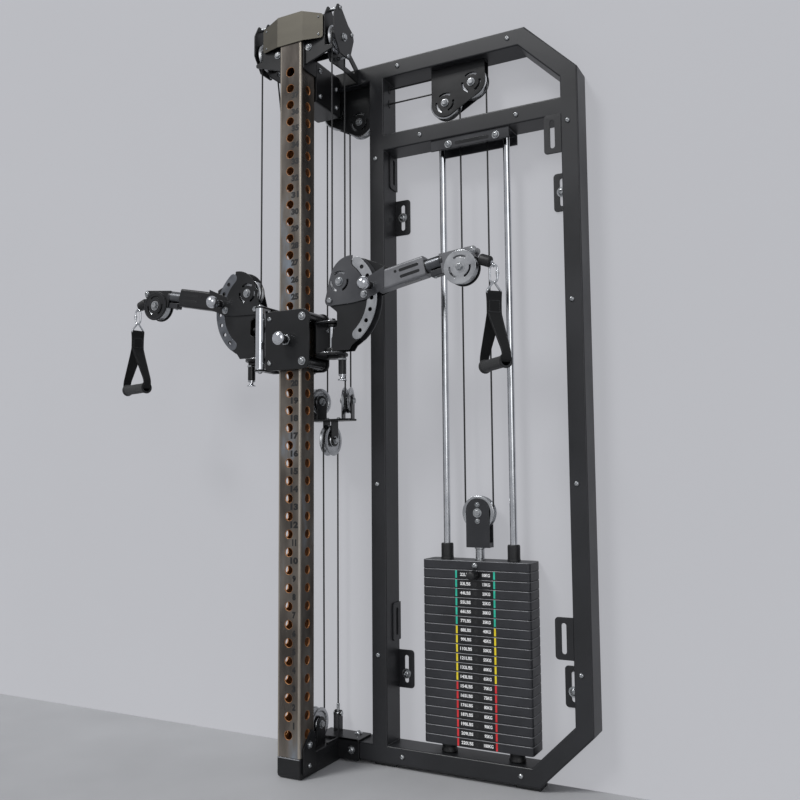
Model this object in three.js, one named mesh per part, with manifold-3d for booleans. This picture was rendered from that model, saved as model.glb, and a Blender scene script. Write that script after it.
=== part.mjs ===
import * as THREE from 'three';
import { mergeVertices } from 'three/addons/utils/BufferGeometryUtils.js';
import Module from 'manifold-3d';

const wasm = await Module();
wasm.setup();

// Driving sizes in millimetres. X runs to the right along the wall, Y runs back
// to the wall, Z is up. X = 0 is the column's centre, Y = 0 its front face.

// shared fits
const gap = 0.3;
const overrun = 3;
const lap = 1;
const round_sides = 10;
const disc_sides = 18;
const pulley_sides = 12;
const curve_steps = 7;
const rope_sides = 8;
const arc_steps = 4;
const window_steps = 3;

// perforated column and its foot
const column_side = 75;
const column_wall = 4;
const column_height = 2120;
const hole_radius = 12.2;
const hole_sides = 6;
const hole_pitch = 50;
const hole_count = 38;
const first_hole_height = 118.4;
const crown_hole_radius = 14;
const foot_height = 58.4;
const foot_nose = 12;
const boot_thickness = 5.5;
const boot_depth = 74;
const boot_front_rise = 24;
const boot_rear_rise = 65;
const angle_thickness = 5.5;
const angle_reach = 106;
const angle_height = 54;

// wall frame of rectangular tube
const frame_setback = 213;
const frame_depth = 85;
const frame_left = 147;
const frame_right = 794.5;
const frame_top = 2092;
const pad_height = 10;
const beam_height = 50;
const upright_width = 49;
const corner_chamfer = 148;
const cross_member_base = 1815.4;
const pad_length = 71;
const pad_inset = 12;
const tab_thickness = 4;
const tab_reach = 48;
const tab_height = 110;
const tab_slot_width = 13;
const tab_slot_length = 80;
const tab_low_height = 208;
const tab_high_height = 1569;
const tab_step = 140;

// rods and weight stack
const stack_centre = 473;
const rod_spacing = 200;
const rod_radius = 10;
const channel_length = 243;
const channel_height = 32;
const channel_depth = 75;
const channel_wall = 6;
const plate_width = 318;
const plate_depth = 82;
const plate_pitch = 25.3;
const plate_count = 19;
const plate_corner = 9;
const plate_groove = 1.6;
const plate_groove_depth = 2.5;
const stack_base = 88.4;
const bumper_radius = 23;
const cap_height = 24.7;
const bush_radius = 18.5;
const bush_height = 45;
const stem_radius = 12.5;
const stem_height = 35;
const clevis_width = 70;
const clevis_plate = 4;
const clevis_floor = 14;
const clevis_headroom = 35.2;
const pin_radius = 4.2;
const pin_hole_radius = 5.4;
const pin_hole_depth = 30;
const pin_short = 2.5;
const knob_radius = 13;
const knob_length = 14;
const selector_reach = 26;

// pulleys and cable
const rope_radius = 2.5;
const rope_joint = 0.8;
const large_wrap = 42;
const small_wrap = 36;
const rim_height = 5.4;
const groove_drop = 5.5;
const pulley_width = 24;
const groove_mouth = 18;
const axle_radius = 6;
const swage_radius = 5;
const swage_length = 26;

// pulley brackets under the top beam
const bracket_plate = 3;
const bracket_top_web = 5;
const bracket_margin = 8;
const bracket_reveal = 4;
const bracket_headroom = 9.4;
const bracket_pulley_step = 45.2;
const post_upper_x = 12;
const post_lower_x = 96;
const window_radius = 27;
const window_width = 5;
const window_count = 3;
const window_sweep_deg = 74;

// head of the column
const head_pulley_height = 2120.4;
const cheek_thickness = 4;
const cheek_space = 30;
const head_top = 2210.4;
const head_base = 2044.4;
const boom_width = 86;
const boom_wall = 5;
const boom_base = 1948.4;
const boom_top = 2078.4;
const gusset_thickness = 6;
const retainer_radius = 5;
const name_half_flat = 45;
const name_half_width = 106;
const name_fold = 14;
const name_thickness = 3;
const name_height = 90.4;
const name_top = 2194.4;
const name_end_drop = 18;
const name_top_flat = 40;

// carriage
const carriage_hole = 23;
const carriage_plate = 8;
const carriage_front = 20;
const roller_radius = 18;
const roller_rise = 64;
const lobe_radius = 22;
const waist_half_width = 71;
const waist_half_height = 40;
const carriage_rear_plate = 8;
const rear_clearance = 10;
const side_plate_front = 18;
const side_plate_thickness = 6;
const side_plate_half_height = 52;
const flange_thickness = 6;
const flange_reach = 98;
const flange_rise = 112;
const flange_depth = 76;
const grab_radius = 14;
const grab_x = 84;
const lug_thickness = 8;
const lug_rise = 42;
const lug_radius = 45;
const upper_lug_radius = 24;
const yaw_hole_radius = 5.2;
const yaw_hole_circle = 33;
const yaw_hole_count = 4;
const yaw_sweep_deg = 70;
const barrel_radius = 9;
const barrel_length = 24;
const cable_ear_depth = 24;
const cable_ear_half = 14;
const cable_ear_thickness = 12;
const base_pulley_y = 146;
const base_pulley_height = 114.4;

// arm, mirrored left and right
const yaw_axis_x = 124;
const yaw_axis_y = 32;
const hub_radius = 22;
const shaft_radius = 8;
const pitch_axis_out = 5;
const pitch_axis_rise = 106;
const pivot_rise = 157;
const quadrant_outer = 148;
const quadrant_inner = 118;
const quadrant_plate = 5;
const quadrant_gap = 1.5;
const quadrant_low_deg = -62;
const quadrant_high_deg = 55;
const quadrant_tip_deg = -58;
const reveal_low_deg = 24;
const reveal_high_deg = 80;
const index_circle = 133;
const index_hole_radius = 5.5;
const index_step_deg = 14;
const index_count = 7;
const index_first_deg = 40;
const rest_index_deg = 12;
const arm_cheek = 3;
const disc_out = 68;
const disc_rise = 54;
const arm_disc_radius = 63;
const cheek_bolt_out = 111;
const cheek_bolt_rise = 7;
const cheek_lobe_radius = 16;
const cheek_reach = 173;
const cheek_end_low = 16;
const cheek_end_high = 82;
const tube_height = 56;
const tube_width = 40;
const tube_wall = 3;
const tube_length = 150;
const neck_radius = 18;
const neck_bore = 12;
const neck_length = 44;
const end_pulley_out = 364.5;
const end_pulley_drop = 1;
const head_collar = 8;
const head_spigot_wall = 2.6;
const head_spigot_length = 30;
const head_cheek = 3;
const guard_thickness = 3;
const guard_radius = 46;
const guard_window_radius = 29;
const corner_bolt_out = 35.5;
const corner_bolt_rise = 42;
const corner_radius = 11;
const block_length = 34;
const block_height = 18;
const block_width = 24;
const exit_drop_deg = 22;
const stop_start = 39;
const stop_length = 34;
const stop_radius = 12;
const eye_radius = 7;
const eye_bore = 4;
const eye_thickness = 5;
const eye_drop = 5.5;

// handles
const link_wire = 2.4;
const link_length = 46;
const link_half_width = 9;
const ring_height = 30;
const ring_half_width = 26;
const strap_length = 190;
const strap_stem = 56;
const strap_width = 34;
const strap_foot_width = 20;
const strap_thickness = 3;
const strap_top_half = 6;
const grip_length = 128;
const grip_radius = 15.5;
const grip_bore = 12.5;
const grip_flare = 3.5;
const grip_flare_length = 9;
const right_turn_deg = -44;
const left_turn_deg = -18;

// floating block with three pulleys
const block_lower_y = 225;
const block_lower_height = 940.4;
const block_upper_height = 1059.4;
const block_left_x = -40.5;
const block_right_x = 64.5;
const block_upper_y = 221;
const block_turn_deg = 17;
const block_plate_thickness = 6;
const block_plate_rise = 58;
const block_plate_half_depth = 24;
const block_plate_margin = 19;
const block_cheek_radius = 19;
const anchor_y = 267;
const anchor_height = 116;
const anchor_half_width = 6;
const anchor_plate = 4;
const anchor_radius = 11;

// Outline tables, as shares of the named size beside each one.
// side cheek of the head: depth and height of the head box
const head_cheek_shares = [
  [0, 0.386], [0, 0.76], [0.104, 1], [0.19, 0.99], [0.24, 0.916], [0.405, 0.717],
  [1, 0.29], [1, 0], [0.55, 0.036], [0.166, 0.012],
];
const head_window_shares = [[0.576, 0.133], [0.887, 0.133], [0.887, 0.217], [0.654, 0.386], [0.576, 0.386]];
const outer_cheek_shares = [
  [0, 0.386], [0, 0.76], [0.104, 1], [0.19, 0.99], [0.405, 0.747], [0.55, 0.66],
  [0.57, 0.54], [0.45, 0.12], [0.166, 0.12],
];
const head_bolt_shares = [[0.166, 0.95], [0.505, 0.62], [0.392, 0.17]];
// web of the pitch quadrant: outer radius of the quadrant, from the pitch axis
const web_foot_shares = [[0.0135, -0.973], [0.399, -0.973]];
const web_back_shares = [
  [0.331, -0.716], [0.29, -0.5135], [0.277, -0.176], [0.0946, 0.0405], [0.034, 0.088],
  [-0.047, 0.088], [-0.0946, 0.0135], [-0.081, -0.054], [0.142, -0.23], [0.142, -0.5],
  [0.0135, -0.581],
];

const half_column = column_side / 2;
const column_base = foot_height + gap;
const frame_mid_y = frame_setback + frame_depth / 2;
const frame_back = frame_setback + frame_depth;
const bottom_beam_top = pad_height + beam_height;
const top_beam_base = frame_top - beam_height;
const stack_top = stack_base + plate_count * plate_pitch;
const cap_top = stack_top + cap_height;
const large_rim = large_wrap + rim_height;
const small_rim = small_wrap + rim_height;
const upper_pulley_height = top_beam_base - gap - bracket_top_web - bracket_headroom - large_rim;
const lower_pulley_height = upper_pulley_height - bracket_pulley_step;
const lift_pulley_height = cap_top + stem_height + clevis_floor + clevis_headroom + large_rim;
const name_base = name_top - name_height;
const shaft_way = (shaft_radius + gap) / Math.cos(Math.PI / round_sides);
const axle_way = (axle_radius + gap) / Math.cos(Math.PI / round_sides);
const carriage_height = first_hole_height + (carriage_hole - 1) * hole_pitch;
const pitch_x = yaw_axis_x + pitch_axis_out;
const pitch_z = carriage_height + pitch_axis_rise;
const pivot_x = yaw_axis_x + small_wrap;
const pivot_z = carriage_height + pivot_rise;
const end_x = pivot_x + end_pulley_out;
const end_z = pivot_z - end_pulley_drop;
const head_pulley_y = yaw_axis_y + small_wrap;
const frame_upper_x = stack_centre;
const frame_lower_x = stack_centre - large_wrap - large_wrap;
const rad = THREE.MathUtils.degToRad;
const head_spigot_radius = neck_bore * Math.cos(Math.PI / round_sides) - gap;
const head_spigot_bore = head_spigot_radius - head_spigot_wall;

// Solid helpers.
const BASES = {
  X: new THREE.Matrix4().makeBasis(
    new THREE.Vector3(0, 1, 0), new THREE.Vector3(0, 0, 1), new THREE.Vector3(1, 0, 0)),
  Y: new THREE.Matrix4().makeBasis(
    new THREE.Vector3(1, 0, 0), new THREE.Vector3(0, 0, 1), new THREE.Vector3(0, -1, 0)),
  Z: new THREE.Matrix4(),
};

function plain(geometry) {
  const copy = geometry.clone();
  copy.deleteAttribute('normal');
  copy.deleteAttribute('uv');
  return mergeVertices(copy);
}

function toSolid(geometry) {
  const merged = plain(geometry);
  return new wasm.Manifold(new wasm.Mesh({
    numProp: 3,
    vertProperties: new Float32Array(merged.attributes.position.array),
    triVerts: new Uint32Array(merged.index.array),
  }));
}

function fromSolid(solid) {
  const mesh = solid.getMesh();
  const geometry = new THREE.BufferGeometry();
  geometry.setAttribute('position', new THREE.BufferAttribute(mesh.vertProperties, 3));
  geometry.setIndex(new THREE.BufferAttribute(mesh.triVerts, 1));
  return geometry;
}

function join(...pieces) {
  return fromSolid(pieces.map(toSolid).reduce((sum, piece) => sum.add(piece)));
}

function cut(base, ...tools) {
  return fromSolid(tools.map(toSolid).reduce((rest, tool) => rest.subtract(tool), toSolid(base)));
}

function common(first, second) {
  return fromSolid(toSolid(first).intersect(toSolid(second)));
}

function signedVolume(geometry) {
  const place = geometry.attributes.position;
  const order = geometry.index.array;
  const corner = (i) => new THREE.Vector3().fromBufferAttribute(place, order[i]);
  let sum = 0;
  for (let i = 0; i < order.length; i += 3) sum += corner(i).dot(corner(i + 1).cross(corner(i + 2)));
  return sum;
}

function flipped(geometry) {
  const order = geometry.index.array;
  for (let i = 0; i < order.length; i += 3) [order[i + 1], order[i + 2]] = [order[i + 2], order[i + 1]];
  return geometry;
}

function outward(geometry) {
  const merged = plain(geometry);
  return signedVolume(merged) < 0 ? flipped(merged) : merged;
}

function mirrored(geometry) {
  return flipped(plain(geometry).scale(-1, 1, 1));
}

function plate(axis, outline, from, to, holes = []) {
  const shape = new THREE.Shape(outline.map(([u, v]) => new THREE.Vector2(u, v)));
  const slab = new THREE.ExtrudeGeometry(shape, { depth: to - from, bevelEnabled: false });
  slab.applyMatrix4(BASES[axis]);
  if (axis === 'X') slab.translate(from, 0, 0);
  if (axis === 'Y') slab.translate(0, to, 0);
  if (axis === 'Z') slab.translate(0, 0, from);
  if (holes.length === 0) return slab;
  return cut(slab, ...holes.map((hole) => plate(axis, hole, from - overrun, to + overrun)));
}

function box(x0, x1, y0, y1, z0, z1) {
  const block = new THREE.BoxGeometry(x1 - x0, y1 - y0, z1 - z0);
  return block.translate((x0 + x1) / 2, (y0 + y1) / 2, (z0 + z1) / 2);
}

function circle(u, v, radius, sides = round_sides) {
  return Array.from({ length: sides }, (_, i) => {
    const angle = (2 * Math.PI * i) / sides;
    return [u + radius * Math.cos(angle), v + radius * Math.sin(angle)];
  });
}

function rod(axis, u, v, radius, from, to, sides = round_sides) {
  return plate(axis, circle(u, v, radius, sides), from, to);
}

function arc(u, v, radius, from, to, steps) {
  return Array.from({ length: steps + 1 }, (_, i) => {
    const angle = from + ((to - from) * i) / steps;
    return [u + radius * Math.cos(angle), v + radius * Math.sin(angle)];
  });
}

function band(u, v, inner, outer, from, to, steps = arc_steps) {
  return [...arc(u, v, outer, from, to, steps), ...arc(u, v, inner, to, from, steps)];
}

function hull(...groups) {
  const points = groups.flat().sort((a, b) => a[0] - b[0] || a[1] - b[1]);
  const turn = (a, b, c) => (b[0] - a[0]) * (c[1] - a[1]) - (b[1] - a[1]) * (c[0] - a[0]);
  const chain = (list) => list.reduce((kept, point) => {
    while (kept.length > 1 && turn(kept.at(-2), kept.at(-1), point) <= 0) kept.pop();
    kept.push(point);
    return kept;
  }, []);
  const lower = chain(points);
  const upper = chain([...points].reverse());
  return [...lower.slice(0, -1), ...upper.slice(0, -1)];
}

function shared(table, u, v, width, height = width) {
  return table.map(([a, b]) => [u + a * width, v + b * height]);
}

function windows(u, v, radius) {
  return Array.from({ length: window_count }, (_, i) => {
    const middle = Math.PI / 2 + (2 * Math.PI * i) / window_count;
    const sweep = rad(window_sweep_deg) / 2;
    return band(u, v, radius - window_width / 2, radius + window_width / 2, middle - sweep, middle + sweep, window_steps);
  });
}

function lathe(profile, direction, centre, sides = round_sides) {
  const ring = new THREE.LatheGeometry(profile.map(([r, h]) => new THREE.Vector2(r, h)), sides);
  const turn = new THREE.Quaternion().setFromUnitVectors(new THREE.Vector3(0, 1, 0), direction);
  ring.applyQuaternion(turn);
  return outward(ring.translate(centre.x, centre.y, centre.z));
}

class Route extends THREE.Curve {
  constructor(points) {
    super();
    this.points = points;
  }

  getUtoTmapping(u) {
    return u;
  }

  getPoint(t, target = new THREE.Vector3()) {
    const place = t * (this.points.length - 1);
    const start = Math.min(Math.floor(place), this.points.length - 2);
    return target.lerpVectors(this.points[start], this.points[start + 1], place - start);
  }
}

function tube(points, radius, sides = rope_sides) {
  const section = new THREE.Shape(circle(0, 0, radius, sides).map(([u, v]) => new THREE.Vector2(u, v)));
  const route = new Route(points);
  const settings = { steps: points.length - 1, extrudePath: route, bevelEnabled: false };
  return outward(new THREE.ExtrudeGeometry(section, settings));
}

function bend(centre, first, second, radius, from, to, steps) {
  return arc(0, 0, radius, from, to, steps).map(([u, v]) => (
    centre.clone().addScaledVector(first, u).addScaledVector(second, v)));
}

const at = (x, y, z) => new THREE.Vector3(x, y, z);
const ALONG_X = at(1, 0, 0);
const ALONG_Y = at(0, 1, 0);
const ALONG_Z = at(0, 0, 1);

// Finishes.
const FINISH = {
  black: [0x1b1c1e, 0.5, 0.6],
  satin: [0x34363a, 0.42, 0.7],
  steel: [0x8b8d8e, 0.35, 0.95],
  chrome: [0xd6d8da, 0.12, 1],
  aluminium: [0xb9bcc0, 0.3, 0.95],
  rubber: [0x17181a, 0.85, 0],
  plastic: [0x151618, 0.45, 0],
  fabric: [0x1d1e20, 0.95, 0],
};

function part(name, geometry, finish) {
  const [color, roughness, metalness] = FINISH[finish];
  const shape = plain(geometry);
  shape.computeVertexNormals();
  const mesh = new THREE.Mesh(shape, new THREE.MeshStandardMaterial({ color, roughness, metalness }));
  mesh.name = name;
  return mesh;
}

function pulley(name, wrap, direction, centre) {
  const rim = wrap === large_wrap ? large_rim : small_rim;
  const floor = wrap - groove_drop;
  const bore = axle_radius + gap;
  const half = pulley_width / 2;
  const profile = [
    [bore, -half], [rim, -half], [rim, -groove_mouth / 2], [floor, 0],
    [rim, groove_mouth / 2], [rim, half], [bore, half], [bore, -half],
  ];
  return part(name, lathe(profile, direction, centre, pulley_sides), 'aluminium');
}

// Column, foot and wall frame.
function column() {
  const outer = box(-half_column, half_column, 0, column_side, column_base, column_base + column_height);
  const inner_half = half_column - column_wall;
  const inner = box(-inner_half, inner_half, column_wall, column_side - column_wall,
    column_base - overrun, column_base + column_height + overrun);
  const drills = [];
  for (let i = 0; i < hole_count; i += 1) {
    const z = first_hole_height + i * hole_pitch;
    drills.push(rod('Y', 0, z, hole_radius, -overrun, half_column, hole_sides));
    drills.push(rod('X', half_column, z, hole_radius, -half_column - overrun, half_column + overrun, hole_sides));
  }
  const crown = first_hole_height + hole_count * hole_pitch;
  drills.push(rod('Y', 0, crown, crown_hole_radius, -overrun, half_column, hole_sides));
  return part('column', cut(outer, inner, ...drills), 'steel');
}

function bootPlate(side) {
  const outer = half_column + boot_thickness;
  const seat = foot_height + gap;
  const outline = [
    [foot_nose, foot_nose], [boot_depth, foot_nose], [boot_depth, seat + boot_rear_rise - foot_nose],
    [boot_depth - foot_nose, seat + boot_rear_rise], [boot_depth - foot_nose - foot_nose, seat + boot_rear_rise],
    [foot_nose, seat + boot_front_rise],
  ];
  const body = plate('X', outline, half_column - lap, outer);
  const relief = box(-outer, half_column + gap, -overrun, boot_depth + overrun, seat - gap, frame_top);
  const trimmed = cut(body, relief);
  return side > 0 ? trimmed : mirrored(trimmed);
}

function basePulleyCheeks() {
  const inner = pulley_width / 2 + gap;
  const outline = hull(
    circle(base_pulley_y, base_pulley_height, cheek_lobe_radius),
    [[base_pulley_y - cheek_lobe_radius - lap, foot_height - lap], [base_pulley_y + cheek_lobe_radius + lap, foot_height - lap]],
  );
  return [
    plate('X', outline, inner, inner + clevis_plate),
    plate('X', outline, -inner - clevis_plate, -inner),
    rod('X', base_pulley_y, base_pulley_height, axle_radius, -inner - clevis_plate, inner + clevis_plate),
  ];
}

function anchorPieces() {
  const seat = bottom_beam_top + gap;
  const front = frame_setback - angle_thickness - gap;
  const leg = box(half_column - lap, angle_reach, front, frame_setback - gap, bottom_beam_top - angle_height, seat + lap);
  const shelf = box(-half_column, angle_reach, front, frame_back - pad_inset, seat, seat + angle_thickness);
  const rib = box(half_column - angle_thickness, half_column, base_pulley_y, frame_setback - gap, foot_height - lap, seat + angle_thickness);
  const lug = hull(circle(anchor_y, anchor_height, anchor_radius),
    [[anchor_y - anchor_radius, seat + lap], [anchor_y + anchor_radius, seat + lap]]);
  const cheeks = [1, -1].map((side) => {
    const near = side * anchor_half_width;
    const far = side * (anchor_half_width + anchor_plate);
    return plate('X', lug, Math.min(near, far), Math.max(near, far));
  });
  const bolt = rod('X', anchor_y, anchor_height, anchor_plate, -anchor_half_width - anchor_plate, anchor_half_width + anchor_plate);
  return [leg, shelf, rib, ...cheeks, bolt];
}

function footBeam() {
  const side = [
    [0, foot_nose], [foot_nose / 2, foot_nose / 5], [foot_nose, 0], [frame_setback - gap, 0],
    [frame_setback - gap, foot_height], [0, foot_height],
  ];
  const beam = plate('X', side, -half_column, half_column);
  return part('foot_beam', join(beam, bootPlate(1), bootPlate(-1), ...basePulleyCheeks(), ...anchorPieces()), 'black');
}

function slotTool(axis, u, v, from, to) {
  const half = (tab_slot_length - tab_slot_width) / 2;
  const outline = hull(circle(u, v - half, tab_slot_width / 2, hole_sides), circle(u, v + half, tab_slot_width / 2, hole_sides));
  return plate(axis, outline, from, to);
}

function frameWindow(left, right, base, top, cropTop) {
  const crop = corner_chamfer - upright_width * (2 - Math.SQRT2);
  return cropTop
    ? [[left, base], [right, base], [right, top - crop], [right - crop, top], [left, top]]
    : [[left, base], [right - crop, base], [right, base + crop], [right, top], [left, top]];
}

function wallTabs() {
  const left_face = frame_left + upright_width;
  const right_face = frame_right - upright_width;
  const solids = [];
  const slots = [];
  for (const low of [tab_low_height, tab_high_height]) {
    const top = low + tab_height;
    const middle = low + tab_height / 2;
    const back = [frame_back - tab_thickness, frame_back];
    solids.push(box(left_face - lap, left_face + tab_reach, ...back, low, top));
    solids.push(box(right_face - tab_reach, right_face + lap, ...back, low, top));
    slots.push(slotTool('Y', left_face + tab_reach / 2, middle, frame_back - tab_thickness - overrun, frame_back + overrun));
    slots.push(slotTool('Y', right_face - tab_reach / 2, middle, frame_back - tab_thickness - overrun, frame_back + overrun));
    const step = low + tab_step;
    solids.push(box(right_face - tab_reach, right_face + lap, frame_setback, frame_setback + tab_thickness, step, step + tab_height));
    slots.push(slotTool('Y', right_face - tab_reach / 2, step + tab_height / 2, frame_setback - overrun, frame_setback + tab_thickness + overrun));
    solids.push(box(left_face - lap, left_face + tab_thickness, frame_back - tab_reach, frame_back, step, step + tab_height));
    slots.push(slotTool('X', frame_back - tab_reach / 2, step + tab_height / 2, left_face - tab_thickness, left_face + tab_thickness + overrun));
  }
  return [solids, slots];
}

function rodChannel() {
  const left = stack_centre - channel_length / 2;
  const right = stack_centre + channel_length / 2;
  const front = frame_mid_y - channel_depth / 2;
  const back = frame_mid_y + channel_depth / 2;
  const low = cross_member_base - channel_height;
  const shell = box(left, right, front, back, low, cross_member_base + lap);
  const core = box(left - overrun, right + overrun, front + channel_wall, back - channel_wall, low - overrun, cross_member_base - channel_wall);
  return cut(shell, core);
}

function wallFrame() {
  const outline = [
    [-half_column, pad_height], [frame_right - corner_chamfer, pad_height], [frame_right, pad_height + corner_chamfer],
    [frame_right, frame_top - corner_chamfer], [frame_right - corner_chamfer, frame_top], [-boom_width / 2, frame_top],
    [-boom_width / 2, top_beam_base], [frame_left, top_beam_base], [frame_left, bottom_beam_top],
    [-half_column, bottom_beam_top],
  ];
  const left = frame_left + upright_width;
  const right = frame_right - upright_width;
  const openings = [
    frameWindow(left, right, cross_member_base + beam_height, top_beam_base, true),
    frameWindow(left, right, bottom_beam_top, cross_member_base, false),
  ];
  const tubes = plate('Y', outline, frame_setback, frame_back);
  const clear = openings.map((window) => plate('Y', window, frame_setback - overrun, frame_back + overrun));
  const [tabs, slots] = wallTabs();
  const pads = [frame_left, frame_right - corner_chamfer - pad_length].map((x) => (
    box(x, x + pad_length, frame_setback + pad_inset, frame_back - pad_inset, 0, pad_height + lap)));
  const rope_half = large_wrap + rope_radius + bracket_margin;
  const rope_slot = box(stack_centre - rope_half, stack_centre + rope_half, frame_mid_y - bracket_margin,
    frame_mid_y + bracket_margin, cross_member_base - channel_wall - overrun, cross_member_base + beam_height + overrun);
  const upright_slot = box(frame_left - overrun, left + overrun, frame_mid_y - bracket_margin, frame_mid_y + bracket_margin,
    lower_pulley_height + large_wrap - bracket_margin, upper_pulley_height + large_wrap + bracket_margin);
  const solid = join(cut(tubes, ...clear), ...tabs, ...pads, rodChannel());
  return part('wall_frame', cut(solid, ...slots, rope_slot, upright_slot), 'satin');
}

// Head of the column.
function nameplate() {
  const rise = gap + name_thickness;
  const front = [
    [-name_half_width, name_fold - rise], [-name_half_flat, -rise], [name_half_flat, -rise], [name_half_width, name_fold - rise],
  ];
  const back = front.map(([x, y]) => [x, y + name_thickness]).reverse();
  const folded = plate('Z', [...front, ...back], name_base, name_top);
  const face = [
    [-name_half_width - overrun, name_base - overrun], [name_half_width + overrun, name_base - overrun],
    [name_half_width + overrun, name_top - name_end_drop], [name_top_flat, name_top],
    [-name_top_flat, name_top], [-name_half_width - overrun, name_top - name_end_drop],
  ];
  return part('name_plate', common(folded, plate('Y', face, -name_fold, name_fold + name_fold)), 'steel');
}

function headPieces() {
  const front = name_fold + gap;
  const back = frame_setback - gap;
  const depth = back - front;
  const height = head_top - head_base;
  const inner = yaw_axis_x - cheek_space / 2;
  const outer = yaw_axis_x + cheek_space / 2;
  const inner_outline = shared(head_cheek_shares, front, head_base, depth, height);
  const window = shared(head_window_shares, front, head_base, depth, height);
  const outer_outline = shared(outer_cheek_shares, front, head_base, depth, height);
  const half = [
    plate('X', inner_outline, inner - cheek_thickness, inner, [window]),
    plate('X', outer_outline, outer, outer + cheek_thickness),
    rod('X', head_pulley_y, head_pulley_height, axle_radius, inner - lap, outer + lap),
    ...shared(head_bolt_shares, front, head_base, depth, height).map(([y, z]) => (
      rod('X', y, z, retainer_radius, inner - lap, outer + lap, hole_sides))),
  ];
  return [...half, ...half.map(mirrored)];
}

function boomPieces() {
  const half = boom_width / 2;
  const back = frame_setback - gap;
  const front = column_side + gap;
  const shell = box(-half, half, front, back, boom_base, boom_top);
  const core = box(-half + boom_wall, half - boom_wall, front - overrun, back + overrun, boom_base + boom_wall, boom_top - boom_wall);
  const inner = yaw_axis_x - cheek_space / 2 - lap;
  const rear = box(-inner, inner, back - gusset_thickness, back, head_base, frame_top - cheek_thickness);
  const middle = box(-inner, inner, front, front + gusset_thickness, head_base + cheek_space, frame_top);
  return [cut(shell, core), rear, middle];
}

function gusset() {
  const inner = yaw_axis_x - cheek_space / 2 - lap;
  const near = half_column + gap;
  const front = name_fold + gap;
  const outline = [
    [near, head_base], [inner, head_base + cheek_space + cheek_space + cheek_space],
    [inner, name_top - name_end_drop], [near, name_top - name_end_drop],
  ];
  const right = plate('Y', outline, front, front + gusset_thickness);
  return [right, mirrored(right)];
}

function headFrame() {
  return part('head_frame', join(...boomPieces(), ...headPieces(), ...gusset()), 'black');
}

// Pulley brackets that hang from the top beam.
function pulleyBracket(name, high_x, low_x) {
  const reach = large_rim - bracket_reveal;
  const left = Math.min(high_x, low_x) - reach;
  const right = Math.max(high_x, low_x) + reach;
  const top = top_beam_base - gap;
  const high = [high_x, upper_pulley_height];
  const low = [low_x, lower_pulley_height];
  const outline = hull(circle(...high, reach), circle(...low, reach), [[left, top], [right, top]]);
  const holes = [...windows(...high, window_radius), ...windows(...low, window_radius)];
  const inner = pulley_width / 2 + gap;
  const y = frame_mid_y;
  const pieces = [
    plate('Y', outline, y - inner - bracket_plate, y - inner, holes),
    plate('Y', outline, y + inner, y + inner + bracket_plate),
    box(left, right, y - inner - lap, y + inner + lap, top - bracket_top_web, top),
    rod('Y', ...high, axle_radius, y - inner - lap, y + inner + lap),
    rod('Y', ...low, axle_radius, y - inner - lap, y + inner + lap),
  ];
  return part(name, join(...pieces), 'black');
}

// Weight stack.
function plateOutline() {
  const half = plate_width / 2;
  const deep = plate_depth / 2;
  const left = stack_centre - half;
  const right = stack_centre + half;
  const front = frame_mid_y - deep;
  const back = frame_mid_y + deep;
  return [
    [left + plate_corner, front], [right - plate_corner, front], [right, front + plate_corner],
    [right, back - plate_corner], [right - plate_corner, back], [left + plate_corner, back],
    [left, back - plate_corner], [left, front + plate_corner],
  ];
}

function rodPlaces() {
  return [stack_centre - rod_spacing / 2, stack_centre + rod_spacing / 2];
}

function rodBores(from, to) {
  return rodPlaces().map((x) => rod('Z', x, frame_mid_y, rod_radius + gap, from - overrun, to + overrun));
}

function pinHole(z) {
  const front = frame_mid_y - plate_depth / 2;
  return rod('Y', stack_centre, z, pin_hole_radius, front - overrun, front + pin_hole_depth, hole_sides);
}

function firstPlate() {
  const base = stack_top - plate_pitch;
  const body = plate('Z', plateOutline(), base, stack_top - gap);
  const tools = [...rodBores(base, stack_top), pinHole(stack_top - plate_pitch / 2)];
  return part('weight_plate_01', cut(body, ...tools), 'black');
}

function lowerPlates() {
  const slabs = [];
  const tools = [];
  const top = stack_top - plate_pitch - gap;
  for (let i = 0; i < plate_count - 1; i += 1) {
    const base = stack_base + i * plate_pitch;
    slabs.push(plate('Z', plateOutline(), base, Math.min(base + plate_pitch - plate_groove, top)));
    tools.push(pinHole(base + plate_pitch / 2));
  }
  const reach_x = plate_width / 2 - plate_groove_depth - plate_corner;
  const reach_y = plate_depth / 2 - plate_groove_depth;
  const core = box(stack_centre - reach_x, stack_centre + reach_x, frame_mid_y - reach_y, frame_mid_y + reach_y,
    stack_base + lap, top - lap);
  const feet = rodPlaces().map((x) => rod('Z', x, frame_mid_y, bumper_radius, bottom_beam_top + gap, stack_base + lap));
  tools.push(...rodBores(0, stack_top));
  return part('weight_plates_02_to_19', cut(join(...slabs, core, ...feet), ...tools), 'black');
}

function liftHead() {
  const y = frame_mid_y;
  const inner = pulley_width / 2 + gap;
  const outer = inner + clevis_plate;
  const floor = cap_top + stem_height;
  const half = clevis_width / 2;
  const side = hull(circle(stack_centre, lift_pulley_height + small_rim - half, half),
    [[stack_centre - half, floor], [stack_centre + half, floor]]);
  const pieces = [
    plate('Z', plateOutline(), stack_top, cap_top),
    ...rodPlaces().map((x) => rod('Z', x, y, bush_radius, cap_top - lap, cap_top + bush_height)),
    rod('Z', stack_centre, y, stem_radius, cap_top - lap, floor + lap),
    box(stack_centre - half, stack_centre + half, y - outer, y + outer, floor, floor + clevis_floor),
    plate('Y', side, y - outer, y - inner),
    plate('Y', side, y + inner, y + outer),
    rod('Y', stack_centre, lift_pulley_height, axle_radius, y - inner - lap, y + inner + lap),
  ];
  return part('lift_head', cut(join(...pieces), ...rodBores(stack_top, cap_top + bush_height)), 'black');
}

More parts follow.
